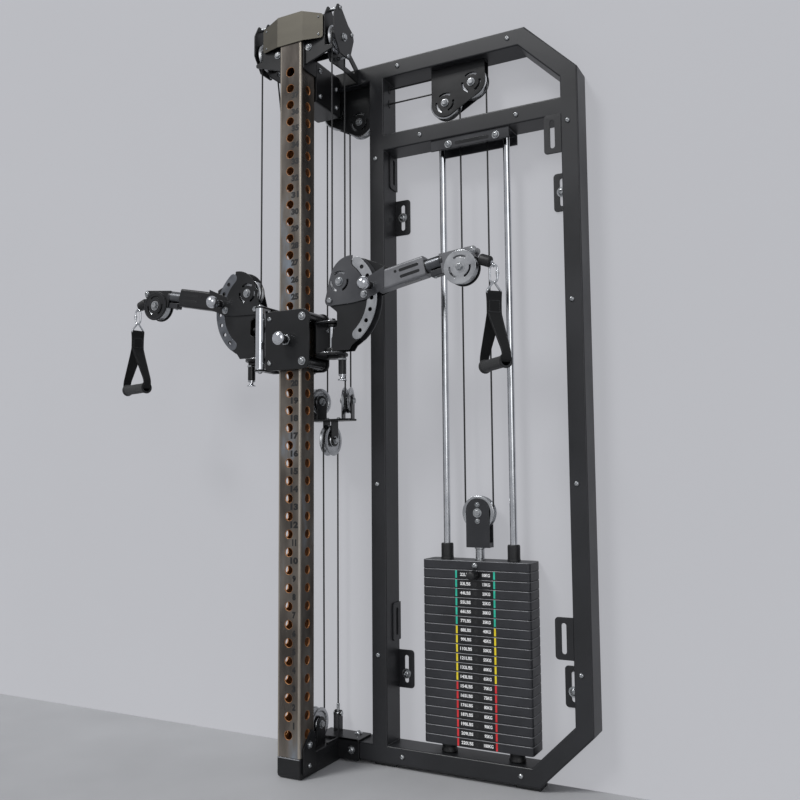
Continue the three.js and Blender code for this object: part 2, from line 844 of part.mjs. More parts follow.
function selectorPin() {
  const front = frame_mid_y - plate_depth / 2;
  const z = stack_top - plate_pitch / 2;
  const shaft = rod('Y', stack_centre, z, pin_radius, front - selector_reach + lap, front + pin_hole_depth - lap);
  const knob = rod('Y', stack_centre, z, knob_radius - gap, front - selector_reach - knob_length + overrun, front - lap);
  return part('selector_pin', join(shaft, knob), 'plastic');
}

function guideRod(name, x) {
  const top = cross_member_base - channel_wall - gap;
  return part(name, rod('Z', x, frame_mid_y, rod_radius, bottom_beam_top + gap, top), 'chrome');
}

// Carriage.
function carriagePlates() {
  const c = carriage_height;
  const lobes = [[-1, -1], [-1, 1], [1, -1], [1, 1]].map(([i, j]) => (
    circle(i * (half_column + gap + roller_radius), c + j * roller_rise, lobe_radius)));
  const outline = hull(...lobes);
  const front = plate('Y', outline, -carriage_front, carriage_plate - carriage_front);
  const rear_y = column_side + rear_clearance;
  const rear = plate('Y', outline, rear_y, rear_y + carriage_rear_plate);
  const notches = [1, -1].map((side) => {
    const near = side * waist_half_width;
    const far = side * (waist_half_width + lobe_radius);
    return box(Math.min(near, far), Math.max(near, far), -carriage_front - overrun, -carriage_front + carriage_plate + overrun,
      c - waist_half_height, c + waist_half_height);
  });
  const pin_way = rod('Y', 0, c, pin_hole_radius, -carriage_front - overrun, 0);
  return [cut(front, ...notches, pin_way), rear];
}

function carriageRollers() {
  const from = carriage_plate - carriage_front - lap;
  const to = column_side + rear_clearance + lap;
  const x = half_column + gap + roller_radius;
  return [[-1, -1], [-1, 1], [1, -1], [1, 1]].map(([i, j]) => (
    rod('Y', i * x, carriage_height + j * roller_rise, roller_radius, from, to)));
}

function lugPieces() {
  const c = carriage_height;
  const x0 = half_column + gap + roller_radius + roller_radius + gap;
  const x1 = x0 + side_plate_thickness;
  const rear = column_side + rear_clearance + carriage_rear_plate;
  const wall = box(x0, x1, side_plate_front, rear, c - side_plate_half_height, c + side_plate_half_height);
  const root = [[x0, side_plate_front], [x0, yaw_axis_y + lug_radius - lap]];
  const low = plate('Z', hull(root, circle(yaw_axis_x, yaw_axis_y, lug_radius)), c - lug_rise - lug_thickness, c - lug_rise);
  const high = plate('Z', hull(root, circle(yaw_axis_x, yaw_axis_y, upper_lug_radius)), c + lug_rise, c + lug_rise + lug_thickness);
  return [wall, low, high];
}

function yawHoles(side) {
  const from = carriage_height - lug_rise - lug_thickness - overrun;
  const shaft = rod('Z', side * yaw_axis_x, yaw_axis_y, shaft_way, from, carriage_height + lug_rise + lug_thickness + overrun);
  const steps = Array.from({ length: yaw_hole_count }, (_, i) => {
    const angle = (-rad(yaw_sweep_deg) * i) / (yaw_hole_count - 1);
    const x = yaw_axis_x + yaw_hole_circle * Math.cos(angle);
    const y = yaw_axis_y + yaw_hole_circle * Math.sin(angle);
    return rod('Z', side * x, y, yaw_hole_radius, from, carriage_height - lug_rise + overrun, hole_sides);
  });
  return [shaft, ...steps];
}

function grabHandle() {
  const c = carriage_height;
  const inner = half_column + gap + roller_radius + roller_radius + gap;
  const flange = (z) => box(-flange_reach, -inner + lap, -carriage_front + lap, -carriage_front + flange_depth, z, z + flange_thickness);
  const web = box(-inner - side_plate_thickness, -inner, side_plate_front, -carriage_front + flange_depth,
    c - flange_rise, c + flange_rise + flange_thickness);
  const low = c - flange_rise;
  const high = c + flange_rise;
  return [flange(low), flange(high), web, rod('Z', -grab_x, 0, grab_radius, low - lap, high + flange_thickness + lap)];
}

function carriage() {
  const c = carriage_height;
  const sleeve = cut(rod('Y', 0, c, barrel_radius, -carriage_front - barrel_length, lap - carriage_front),
    rod('Y', 0, c, pin_hole_radius, -carriage_front - barrel_length - overrun, 0));
  const rear = column_side + rear_clearance + carriage_rear_plate;
  const ear = box(-cable_ear_half, cable_ear_half, rear - lap, rear + cable_ear_depth,
    c - roller_rise - lobe_radius, c - roller_rise - lobe_radius + cable_ear_thickness);
  const lugs = lugPieces();
  const body = join(...carriagePlates(), ...carriageRollers(), ...lugs, ...lugs.map(mirrored), ...grabHandle(), sleeve, ear);
  return part('carriage', cut(body, ...yawHoles(1), ...yawHoles(-1)), 'black');
}

function popPin() {
  const c = carriage_height;
  const outer = -carriage_front - barrel_length - gap;
  const shaft = rod('Y', 0, c, pin_radius, outer - lap, -gap);
  const knob = rod('Y', 0, c, knob_radius, outer - knob_length, outer);
  return part('carriage_pop_pin', join(shaft, knob), 'chrome');
}

// Arm, built on the right and mirrored for the left.
const arm_span = Math.hypot(end_pulley_out, end_pulley_drop);
const arm_slope = Math.asin((small_wrap + small_wrap) / arm_span) - Math.atan2(end_pulley_drop, end_pulley_out);
const leave_x = pivot_x + small_wrap * Math.sin(arm_slope);
const leave_z = pivot_z - small_wrap * Math.cos(arm_slope);
const arm_run = Math.sqrt(arm_span * arm_span - (small_wrap + small_wrap) * (small_wrap + small_wrap));
const tube_start = quadrant_outer - (leave_x - pitch_x) + gap;
const neck_end = tube_start + tube_length + neck_length;

function alongArm(geometry) {
  return geometry.rotateY(-arm_slope).translate(leave_x, yaw_axis_y, leave_z);
}

function yawBody() {
  const c = carriage_height;
  const low = c - lug_rise + gap;
  const high = c + lug_rise - gap;
  const under = c - lug_rise - lug_thickness - gap;
  const near = yaw_axis_y - pulley_width / 2 - quadrant_gap - quadrant_plate;
  const far = yaw_axis_y + pulley_width / 2 + quadrant_gap;
  const outline = [
    ...shared(web_foot_shares, pitch_x, pitch_z, quadrant_outer),
    ...arc(pitch_x, pitch_z, quadrant_outer, rad(quadrant_low_deg), rad(quadrant_high_deg), curve_steps),
    ...arc(pitch_x, pitch_z, quadrant_inner, rad(quadrant_high_deg), rad(quadrant_tip_deg), curve_steps),
    ...shared(web_back_shares, pitch_x, pitch_z, quadrant_outer),
  ];
  const index_holes = Array.from({ length: index_count }, (_, i) => {
    const angle = rad(index_first_deg - i * index_step_deg);
    return circle(pitch_x + index_circle * Math.cos(angle), pitch_z + index_circle * Math.sin(angle), index_hole_radius, hole_sides);
  });
  const tie = box(yaw_axis_x + shaft_radius, yaw_axis_x + yaw_hole_circle, near + lap, far + quadrant_plate - lap, low + lap, c);
  const ear = hull(circle(yaw_axis_x, yaw_axis_y, shaft_radius + shaft_radius), circle(yaw_axis_x + yaw_hole_circle, yaw_axis_y, barrel_radius + lap));
  const sleeve_low = under - lug_thickness - barrel_length - barrel_length;
  const pieces = [
    rod('Z', yaw_axis_x, yaw_axis_y, hub_radius, low, high),
    rod('Z', yaw_axis_x, yaw_axis_y, shaft_radius, under - lap, c + lug_rise + lug_thickness + lap),
    plate('Y', outline, near, near + quadrant_plate, index_holes),
    plate('Y', outline, far, far + quadrant_plate),
    tie,
    plate('Z', ear, under - lug_thickness, under),
    rod('Z', yaw_axis_x + yaw_hole_circle, yaw_axis_y, barrel_radius, sleeve_low, under - lap),
    rod('Y', pitch_x, pitch_z, axle_radius, near - quadrant_gap - arm_cheek, far + quadrant_plate + quadrant_gap + arm_cheek),
  ];
  const pin_way = rod('Z', yaw_axis_x + yaw_hole_circle, yaw_axis_y, pin_hole_radius, sleeve_low - overrun, under + gap / 2);
  return cut(join(...pieces), pin_way);
}

function yawPin() {
  const under = carriage_height - lug_rise - lug_thickness - gap;
  const base = under - lug_thickness - barrel_length - barrel_length - gap;
  const x = yaw_axis_x + yaw_hole_circle;
  const shaft = rod('Z', x, yaw_axis_y, pin_radius, base - lap, under - pin_short);
  return join(shaft, rod('Z', x, yaw_axis_y, knob_radius, base - knob_length, base));
}

const cheek_front = yaw_axis_y - pulley_width / 2 - quadrant_gap - quadrant_plate - quadrant_gap - arm_cheek + lap;
const cheek_back = yaw_axis_y + yaw_axis_y - cheek_front;

function cheekOutline() {
  const bolts = [
    circle(pitch_x, pitch_z, cheek_lobe_radius),
    circle(pitch_x + cheek_bolt_out, pitch_z + cheek_bolt_rise, cheek_lobe_radius),
  ];
  const end = [
    [pitch_x + cheek_reach, pitch_z + cheek_end_low], [pitch_x + cheek_reach, pitch_z + cheek_end_high],
    [pitch_x + disc_out, pitch_z + cheek_end_high],
  ];
  return hull(...bolts, end);
}

function armCheeks() {
  const disc = [pitch_x + disc_out, pitch_z + disc_rise];
  const pieces = [];
  for (const [from, to] of [[cheek_front, cheek_front + arm_cheek], [cheek_back - arm_cheek, cheek_back]]) {
    const flat = plate('Y', cheekOutline(), from, to);
    const round = plate('Y', circle(...disc, arm_disc_radius, disc_sides), from, to);
    pieces.push(join(flat, round));
  }
  const reveal = plate('Y', band(pitch_x, pitch_z, quadrant_inner - lap, quadrant_outer + quadrant_outer,
    rad(reveal_low_deg), rad(reveal_high_deg), curve_steps), cheek_front - overrun, cheek_front + arm_cheek + lap);
  const slots = windows(pivot_x, pivot_z, window_radius).map((outline) => plate('Y', outline, cheek_front - overrun, cheek_front + arm_cheek + overrun));
  pieces[0] = cut(pieces[0], reveal, ...slots);
  return pieces;
}

function armBody() {
  const inside = tube_height - tube_wall - tube_wall;
  const half = tube_width / 2;
  const shell = box(tube_start, tube_start + tube_length, -half, half, -tube_height / 2, tube_height / 2);
  const core = box(tube_start - overrun, tube_start + tube_length - tube_wall, tube_wall - half, half - tube_wall, -inside / 2, inside / 2);
  const neck = rod('X', 0, 0, neck_radius, tube_start + tube_length - tube_wall - lap, neck_end);
  const bore = rod('X', 0, 0, neck_bore, tube_start + tube_length - tube_wall - overrun - lap, neck_end + overrun);
  const tubes = alongArm(cut(join(cut(shell, core), neck), bore));
  const angle = rad(rest_index_deg);
  const pin_x = pitch_x + index_circle * Math.cos(angle);
  const pin_z = pitch_z + index_circle * Math.sin(angle);
  const bolts = [
    rod('Y', pivot_x, pivot_z, axle_radius, cheek_front + lap, cheek_back - lap),
    rod('Y', pitch_x + cheek_bolt_out, pitch_z + cheek_bolt_rise, retainer_radius, cheek_front + lap, cheek_back - lap, hole_sides),
    rod('Y', pin_x, pin_z, barrel_radius, cheek_front - barrel_length, cheek_front + lap),
  ];
  const cleared = [
    rod('Y', pitch_x, pitch_z, axle_way, cheek_front - overrun, cheek_back + overrun),
    rod('Y', pin_x, pin_z, pin_hole_radius, cheek_front - barrel_length - overrun, cheek_front + arm_cheek + overrun),
  ];
  return cut(join(tubes, ...armCheeks(), ...bolts), ...cleared);
}

function pitchPin() {
  const angle = rad(rest_index_deg);
  const x = pitch_x + index_circle * Math.cos(angle);
  const z = pitch_z + index_circle * Math.sin(angle);
  const outer = cheek_front - barrel_length - gap;
  return join(rod('Y', x, z, pin_radius, outer - lap, cheek_front + arm_cheek - pin_short), rod('Y', x, z, knob_radius, outer - knob_length, outer));
}

function endHead() {
  const start = neck_end + gap;
  const collar = rod('X', 0, 0, neck_radius, start, start + head_collar);
  const spigot = rod('X', 0, 0, head_spigot_radius, start - head_spigot_length, start + lap);
  const foot = box(start - block_length, start + head_collar, -block_width / 2, block_width / 2,
    -neck_radius - block_height, -neck_radius - lap);
  const riser = box(start + lap, start + head_collar, -block_width / 2, block_width / 2, -neck_radius - block_height, 0);
  const way = rod('X', 0, 0, head_spigot_bore, start - head_spigot_length - overrun, start + head_collar + overrun);
  const base = alongArm(cut(join(collar, spigot, foot, riser), way));
  const inner = pulley_width / 2 + gap;
  const root = [[start + lap, neck_radius], [start + lap, -neck_radius - block_height], [start + head_collar, -neck_radius - block_height]];
  const root_world = root.map(([s, n]) => [
    leave_x + s * Math.cos(arm_slope) - n * Math.sin(arm_slope),
    leave_z + s * Math.sin(arm_slope) + n * Math.cos(arm_slope),
  ]);
  const corner = [end_x + corner_bolt_out, end_z + corner_bolt_rise];
  const outline = hull(root_world, circle(...corner, corner_radius), circle(end_x, end_z, cheek_lobe_radius));
  const pieces = [base];
  for (const side of [-1, 1]) {
    const near = yaw_axis_y + side * inner;
    const mid = near + side * head_cheek;
    const far = mid + side * guard_thickness;
    const guard_holes = side < 0 ? windows(end_x, end_z, guard_window_radius) : [];
    pieces.push(plate('Y', outline, Math.min(near, mid), Math.max(near, mid)));
    pieces.push(plate('Y', circle(end_x, end_z, guard_radius, disc_sides), Math.min(mid - side * lap, far), Math.max(mid - side * lap, far), guard_holes));
  }
  const span = [yaw_axis_y - inner - lap, yaw_axis_y + inner + lap];
  pieces.push(rod('Y', end_x, end_z, axle_radius, ...span), rod('Y', ...corner, retainer_radius, ...span, hole_sides));
  const ties = box(start + lap, start + head_collar, -inner - lap, inner + lap, -neck_radius, neck_radius);
  pieces.push(alongArm(cut(ties, rod('X', 0, 0, head_spigot_bore, start - overrun, start + head_collar + overrun))));
  return join(...pieces);
}

// Cable route of one arm, in X and Z at the arm's own depth.
const exit_angle = Math.PI / 2 - rad(exit_drop_deg);
const exit_x = end_x + small_wrap * Math.cos(exit_angle);
const exit_z = end_z + small_wrap * Math.sin(exit_angle);
const exit_point = (s) => at(exit_x + s * Math.sin(exit_angle), yaw_axis_y, exit_z - s * Math.cos(exit_angle));
const hang = exit_point(stop_start + stop_length + eye_radius).add(at(0, 0, -eye_drop));
const run_point = (s) => at(leave_x + s * Math.cos(arm_slope), yaw_axis_y, leave_z + s * Math.sin(arm_slope));

function armCable() {
  const centre = at(pivot_x, yaw_axis_y, pivot_z);
  const quarter = bend(centre, ALONG_X, ALONG_Z, small_wrap, Math.PI, 1.5 * Math.PI + arm_slope, arc_steps + 1);
  return tube([...quarter, run_point(neck_end)], rope_radius);
}

function endCable() {
  const centre = at(end_x, yaw_axis_y, end_z);
  const over = bend(centre, ALONG_X, ALONG_Z, small_wrap, Math.PI / 2 + arm_slope, exit_angle, arc_steps);
  const line = tube([run_point(neck_end + gap), ...over, exit_point(stop_start + lap)], rope_radius);
  const stop = tube([exit_point(stop_start), exit_point(stop_start + stop_length)], stop_radius, round_sides);
  const neck = tube([exit_point(stop_start + stop_length - lap), exit_point(stop_start + stop_length + eye_radius)], rope_radius);
  const eye = rod('X', hang.y, hang.z, eye_radius, hang.x - eye_thickness / 2, hang.x + eye_thickness / 2);
  const hole = rod('X', hang.y, hang.z, eye_bore, hang.x - eye_thickness, hang.x + eye_thickness);
  return cut(join(line, stop, neck, eye), hole);
}

// Handle: link and ring, strap and grip.
function connector(turn) {
  const half = link_half_width + link_wire;
  const low = hang.z - link_length;
  const outer = hull(circle(hang.x, hang.z - link_half_width, half), circle(hang.x, low + link_half_width, half));
  const inner = hull(circle(hang.x, hang.z - link_half_width, half - link_wire - link_wire),
    circle(hang.x, low + link_half_width, half - link_wire - link_wire));
  const link = plate('Y', outer, hang.y - link_wire, hang.y + link_wire, [inner]);
  const apex = link_wire;
  const foot = apex - ring_height;
  const wide = ring_half_width;
  const frame = hull(circle(0, apex, link_wire), [[-wide, foot - link_wire], [wide, foot - link_wire], [-wide, foot + link_wire], [wide, foot + link_wire]]);
  const open = [[0, apex - link_wire - link_wire], [-wide + link_wire + link_wire, foot + link_wire], [wide - link_wire - link_wire, foot + link_wire]];
  const ring = plate('X', frame, -link_wire, link_wire, [open]).rotateZ(turn).translate(hang.x, hang.y, low);
  return join(link, ring);
}

const strap_top = hang.z - link_length + link_wire - ring_height;
const grip_drop = strap_length - strap_top_half;

function placeHandle(geometry, turn) {
  return geometry.rotateZ(turn).translate(hang.x, hang.y, strap_top);
}

function strap(turn) {
  const reach = grip_length / 2 + strap_thickness;
  const inside = reach - strap_thickness;
  const low = -grip_drop - strap_thickness / 2;
  const high = low + strap_thickness;
  const knee = grip_radius + grip_flare + overrun - grip_drop;
  const outer = [
    ...arc(0, 0, strap_top_half, 0, Math.PI, curve_steps), [-strap_top_half, -strap_stem],
    [-reach, knee], [-reach, low], [reach, low], [reach, knee], [strap_top_half, -strap_stem],
  ];
  const inner = [[0, -strap_stem - strap_top_half], [-inside, knee], [-inside, high], [inside, high], [inside, knee]];
  const eye_radius_share = Math.SQRT2 / Math.cos(Math.PI / round_sides);
  const eye = circle(0, 0, link_wire * eye_radius_share + gap, round_sides);
  const web = plate('Y', outer, -strap_width / 2, strap_width / 2, [inner, eye]);
  const taper = [
    [-strap_width / 2, strap_top_half + overrun], [-strap_width / 2, -strap_stem], [-strap_foot_width / 2, knee],
    [-strap_foot_width / 2, low - overrun], [strap_foot_width / 2, low - overrun], [strap_foot_width / 2, knee],
    [strap_width / 2, -strap_stem], [strap_width / 2, strap_top_half + overrun],
  ];
  const sides = plate('X', taper, -reach - overrun, reach + overrun);
  return placeHandle(common(web, sides), turn);
}

function grip(turn) {
  const half = grip_length / 2 - gap;
  const flare = half - grip_flare_length;
  const profile = [
    [grip_bore, -half], [grip_radius + grip_flare, -half], [grip_radius, -flare], [grip_radius, flare],
    [grip_radius + grip_flare, half], [grip_bore, half], [grip_bore, -half],
  ];
  return placeHandle(lathe(profile, ALONG_X, at(0, 0, -grip_drop)), turn);
}

function armParts(side) {
  const word = side > 0 ? 'right' : 'left';
  const turn = rad(side > 0 ? right_turn_deg : -left_turn_deg);
  const put = (name, geometry, finish) => part(`${name}_${word}`, side > 0 ? geometry : mirrored(geometry), finish);
  return [
    put('yaw_body', yawBody(), 'black'),
    put('yaw_pin', yawPin(), 'chrome'),
    put('arm', armBody(), 'black'),
    put('pitch_pin', pitchPin(), 'chrome'),
    pulley(`pivot_pulley_${word}`, small_wrap, ALONG_Y, at(side * pivot_x, yaw_axis_y, pivot_z)),
    put('arm_head', endHead(), 'satin'),
    pulley(`end_pulley_${word}`, small_wrap, ALONG_Y, at(side * end_x, yaw_axis_y, end_z)),
    put('handle_link', connector(turn), 'chrome'),
    put('handle_strap', strap(turn), 'fabric'),
    put('handle_grip', grip(turn), 'rubber'),
    put('cable_arm', armCable(), 'plastic'),
    put('cable_end', endCable(), 'plastic'),
  ];
}

// Floating block between the main cable and the carriage cable.
const block_floor = block_lower_height + block_plate_rise;
const turned = (side) => at(-side * Math.sin(rad(block_turn_deg)), Math.cos(rad(block_turn_deg)), 0);
const axle_of = (side) => at(Math.cos(rad(block_turn_deg)), side * Math.sin(rad(block_turn_deg)), 0);

function blockCheek(side) {
  const x = side > 0 ? block_right_x : block_left_x;
  const inner = pulley_width / 2 + gap;
  const outline = hull(circle(0, block_upper_height, block_cheek_radius),
    [[-block_cheek_radius, block_floor + lap], [block_cheek_radius, block_floor + lap]]);
  const pieces = [
    plate('X', outline, inner, inner + clevis_plate),
    plate('X', outline, -inner - clevis_plate, -inner),
    rod('X', 0, block_upper_height, axle_radius, -inner - lap, inner + lap),
  ];
  return pieces.map((piece) => piece.rotateZ(side * rad(block_turn_deg)).translate(x, block_upper_y, 0));
}

function blockFrame() {
  const inner = pulley_width / 2 + gap;
  const lower = hull(circle(block_lower_y, block_lower_height, block_cheek_radius),
    [[block_lower_y - block_cheek_radius, block_floor + lap], [block_lower_y + block_cheek_radius, block_floor + lap]]);
  const table = box(block_left_x - block_plate_margin, block_right_x + block_plate_margin,
    block_upper_y - block_plate_half_depth, block_upper_y + block_plate_half_depth, block_floor, block_floor + block_plate_thickness);
  const pieces = [
    table, ...blockCheek(-1), ...blockCheek(1),
    plate('X', lower, inner, inner + clevis_plate),
    plate('X', lower, -inner - clevis_plate, -inner),
    rod('X', block_lower_y, block_lower_height, axle_radius, -inner - lap, inner + lap),
  ];
  return part('block_frame', join(...pieces), 'black');
}

// Cables.
function headStrand(side) {
  const x = side * yaw_axis_x;
  const points = [at(x, yaw_axis_y, pivot_z + rope_joint), at(x, yaw_axis_y, head_pulley_height - rope_joint)];
  return tube(points, rope_radius);
}

function blockSide(side) {
  const x = side > 0 ? block_right_x : block_left_x;
  const centre = at(x, block_upper_y, block_upper_height);
  const across = turned(side);
  const over = bend(at(side * yaw_axis_x, head_pulley_y, head_pulley_height), ALONG_Y, ALONG_Z, small_wrap, Math.PI, 0, arc_steps + arc_steps);
  const under = bend(centre, across, ALONG_Z, small_wrap, -Math.PI, 0, arc_steps + arc_steps);
  return tube([...over, ...under], rope_radius);
}

function upperRun(side) {
  const x = side > 0 ? block_right_x : block_left_x;
  const rise = at(x, block_upper_y, block_upper_height).addScaledVector(turned(side), small_wrap);
  rise.z += rope_joint;
  const height = side > 0 ? lower_pulley_height : upper_pulley_height;
  const post = at(side > 0 ? post_lower_x : post_upper_x, frame_mid_y, height);
  const far = at(side > 0 ? frame_lower_x : frame_upper_x, frame_mid_y, height);
  const first = bend(post, ALONG_X, ALONG_Z, large_wrap, Math.PI, Math.PI / 2, arc_steps);
  const second = bend(far, ALONG_X, ALONG_Z, large_wrap, Math.PI / 2, 0, arc_steps);
  return tube([rise, ...first, ...second], rope_radius);
}

function liftRun() {
  const centre = at(stack_centre, frame_mid_y, lift_pulley_height);
  const under = bend(centre, ALONG_X, ALONG_Z, large_wrap, -Math.PI, 0, arc_steps + arc_steps);
  const left = at(stack_centre - large_wrap, frame_mid_y, lower_pulley_height - rope_joint);
  const right = at(stack_centre + large_wrap, frame_mid_y, upper_pulley_height - rope_joint);
  return tube([left, ...under, right], rope_radius);
}

function blockCable() {
  const centre = at(0, block_lower_y, block_lower_height);
  const over = bend(centre, ALONG_Y, ALONG_Z, large_wrap, 0, Math.PI, arc_steps + arc_steps);
  const low = anchor_height + anchor_plate + gap;
  const start = at(0, anchor_y, low);
  const end = at(0, base_pulley_y + large_wrap, base_pulley_height + rope_joint);
  const swage = tube([start, at(0, anchor_y, low + swage_length)], swage_radius);
  return join(tube([start, ...over, end], rope_radius), swage);
}

function carriageCable() {
  const centre = at(0, base_pulley_y, base_pulley_height);
  const under = bend(centre, ALONG_Y, ALONG_Z, large_wrap, 0, -Math.PI, arc_steps + arc_steps);
  const top = carriage_height - roller_rise - lobe_radius - gap;
  return tube([...under, at(0, base_pulley_y - large_wrap, top)], rope_radius);
}

function build() {
  const object = new THREE.Group();
  object.name = 'wall_pulley_weight_stack';
  object.position.set(0, -half_column, 0);
  const left_block = at(block_left_x, block_upper_y, block_upper_height);
  const right_block = at(block_right_x, block_upper_y, block_upper_height);
  const [left_rod, right_rod] = rodPlaces();
  const y = frame_mid_y;
  object.add(
    wallFrame(), column(), footBeam(), nameplate(), headFrame(),
    pulleyBracket('column_pulley_bracket', post_upper_x, post_lower_x),
    pulleyBracket('stack_pulley_bracket', frame_upper_x, frame_lower_x),
    guideRod('guide_rod_left', left_rod), guideRod('guide_rod_right', right_rod),
    pulley('head_pulley_left', small_wrap, ALONG_X, at(-yaw_axis_x, head_pulley_y, head_pulley_height)),
    pulley('head_pulley_right', small_wrap, ALONG_X, at(yaw_axis_x, head_pulley_y, head_pulley_height)),
    pulley('column_bracket_pulley_left', large_wrap, ALONG_Y, at(post_upper_x, y, upper_pulley_height)),
    pulley('column_bracket_pulley_right', large_wrap, ALONG_Y, at(post_lower_x, y, lower_pulley_height)),
    pulley('stack_bracket_pulley_left', large_wrap, ALONG_Y, at(frame_lower_x, y, lower_pulley_height)),
    pulley('stack_bracket_pulley_right', large_wrap, ALONG_Y, at(frame_upper_x, y, upper_pulley_height)),
    pulley('base_pulley', large_wrap, ALONG_X, at(0, base_pulley_y, base_pulley_height)),
    liftHead(),
    pulley('lift_pulley', large_wrap, ALONG_Y, at(stack_centre, y, lift_pulley_height)),
    firstPlate(), lowerPlates(), selectorPin(),
    carriage(), popPin(),
    blockFrame(),
    pulley('block_pulley_lower', large_wrap, ALONG_X, at(0, block_lower_y, block_lower_height)),
    pulley('block_pulley_left', small_wrap, axle_of(-1), left_block),
    pulley('block_pulley_right', small_wrap, axle_of(1), right_block),
    ...armParts(1), ...armParts(-1),
    part('cable_strand_right', headStrand(1), 'plastic'),
    part('cable_strand_left', headStrand(-1), 'plastic'),
    part('cable_block_right', blockSide(1), 'plastic'),
    part('cable_block_left', blockSide(-1), 'plastic'),
    part('cable_upper_left', upperRun(-1), 'plastic'),
    part('cable_upper_right', upperRun(1), 'plastic'),
    part('cable_lift', liftRun(), 'plastic'),
    part('cable_block_lower', blockCable(), 'plastic'),
    part('cable_carriage', carriageCable(), 'plastic'),
  );
  return object;
}

export default build();
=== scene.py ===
import math
import bpy
import bmesh
from mathutils import Matrix, Vector
from mathutils.geometry import tessellate_polygon


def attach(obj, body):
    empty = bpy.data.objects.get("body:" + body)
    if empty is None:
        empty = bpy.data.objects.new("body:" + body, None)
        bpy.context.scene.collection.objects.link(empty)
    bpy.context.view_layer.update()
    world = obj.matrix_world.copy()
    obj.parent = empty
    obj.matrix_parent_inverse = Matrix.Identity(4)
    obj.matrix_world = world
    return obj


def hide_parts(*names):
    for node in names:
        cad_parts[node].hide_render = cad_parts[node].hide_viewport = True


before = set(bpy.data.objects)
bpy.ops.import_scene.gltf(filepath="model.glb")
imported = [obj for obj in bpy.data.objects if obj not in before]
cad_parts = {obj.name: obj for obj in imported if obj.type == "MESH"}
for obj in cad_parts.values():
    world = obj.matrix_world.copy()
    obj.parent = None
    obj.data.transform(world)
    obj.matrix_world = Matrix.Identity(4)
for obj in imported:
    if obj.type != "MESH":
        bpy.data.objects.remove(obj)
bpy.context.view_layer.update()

# Sizes are the drawing's, in millimetres: X right along the wall, Y back to the
# wall from the column's front face, Z up. put() turns them into the row's frame.
MM = 0.001
X1, Y1, Z1, OUT = (1, 0, 0), (0, 1, 0), (0, 0, 1), (0, -1, 0)
GAP = 0.3                                         # between pieces that touch
HALF, DEEP, SKIN = 37.5, 75.0, 4.0                # column: half its width, depth, wall
HOLE_1, PITCH, HOLES, HOLE_R = 118.4, 50.0, 38, 12.2
COLUMN_LOW, COLUMN_HIGH = 58.7, 2178.7
FRONT, BACK, MID_Y = 213.0, 298.0, 255.5          # wall frame
LEFT, RIGHT, TOP, TUBE = 147.0, 794.5, 2092.0, 50.0
BAR_LOW, BAR_HIGH = 1815.4, 1865.4                # its cross bar
FLOOR_TUBE, SEAT = 60.0, 60.3                     # top of its bottom tube, and what stands on it
STACK_X, PLATES, PLATE = 473.0, 19, 25.3
STACK_BASE = 88.4
STACK_TOP = STACK_BASE + PLATES * PLATE
CAP_TOP = STACK_TOP + 24.7
LIFT_Z = CAP_TOP + 131.6                          # lift pulley
STACK_FRONT = MID_Y - 41
ROD_X = (STACK_X - 100, STACK_X + 100)
HIGH_Z, LOW_Z = 1979.9, 1934.7                    # the two pulleys of both brackets
COLUMN_PAIR, STACK_PAIR = (12, 96), (STACK_X, STACK_X - 84)
BASE_Y, BASE_Z, ANCHOR_Y = 146, 114.4, 267        # base pulley and cable anchor
DROP_Y, DROP_Z = 225, 940.4                       # lower pulley of the floating block
TWIN_Y, TWIN_Z, TWIN_X = 221, 1059.4, {-1: -40.5, 1: 64.5}
TWIN_TURN = math.radians(17)
CAR_Z, CAR_HALF = 1218.4, 42.0                    # carriage, and its lugs' inner faces
YAW_X, YAW_Y = 124.0, 32.0
PITCH_X, PITCH_Z = 129.0, 1324.4
PIVOT_X, PIVOT_Z = 160.0, 1375.4
END_X, END_Z = 524.5, 1374.4
HEAD_Y, HEAD_Z = 68.0, 2120.4
LARGE, SMALL, RIM = 42.0, 36.0, 5.4               # cable radius on the pulleys, and their rim above it
CHEEK = 12.3                                      # from a pulley's middle to its cheeks
ROPE = 2.5
BLACK = "black_paint"


def put(x, y, z):
    return Vector((x, y - HALF, z)) * MM


def linear(code):
    values = [int(code[i:i + 2], 16) / 255 for i in (1, 3, 5)]
    return [v / 12.92 if v <= 0.04045 else ((v + 0.055) / 1.055) ** 2.4 for v in values] + [1.0]


# ---- camera ------------------------------------------------------------------
def make_camera():
    """The pinhole camera that was fitted to the photograph's 800 x 800 frame."""
    yaw, pitch, roll = 0.49119, 0.0864, -0.00604
    focal, centre_u, centre_v, size = 875.54, 382.145, 401.928, 800.0
    ahead = Vector((-math.sin(yaw) * math.cos(pitch), math.cos(yaw) * math.cos(pitch), math.sin(pitch)))
    level = Vector((math.cos(yaw), math.sin(yaw), 0.0))
    lift = level.cross(ahead)
    right = level * math.cos(roll) + lift * math.sin(roll)
    up = lift * math.cos(roll) - level * math.sin(roll)
    data = bpy.data.cameras.new("camera")
    data.sensor_width = 36.0
    data.lens = focal * data.sensor_width / size
    data.shift_x = (size / 2 - centre_u) / size
    data.shift_y = (centre_v - size / 2) / size
    data.clip_start, data.clip_end = 0.05, 50.0
    camera = bpy.data.objects.new("camera", data)
    turn = Matrix((right, up, -ahead)).transposed().to_4x4()
    turn.translation = put(1406.6, -2068.4, 825.3)
    camera.matrix_world = turn
    bpy.context.scene.collection.objects.link(camera)
    bpy.context.scene.camera = camera


make_camera()


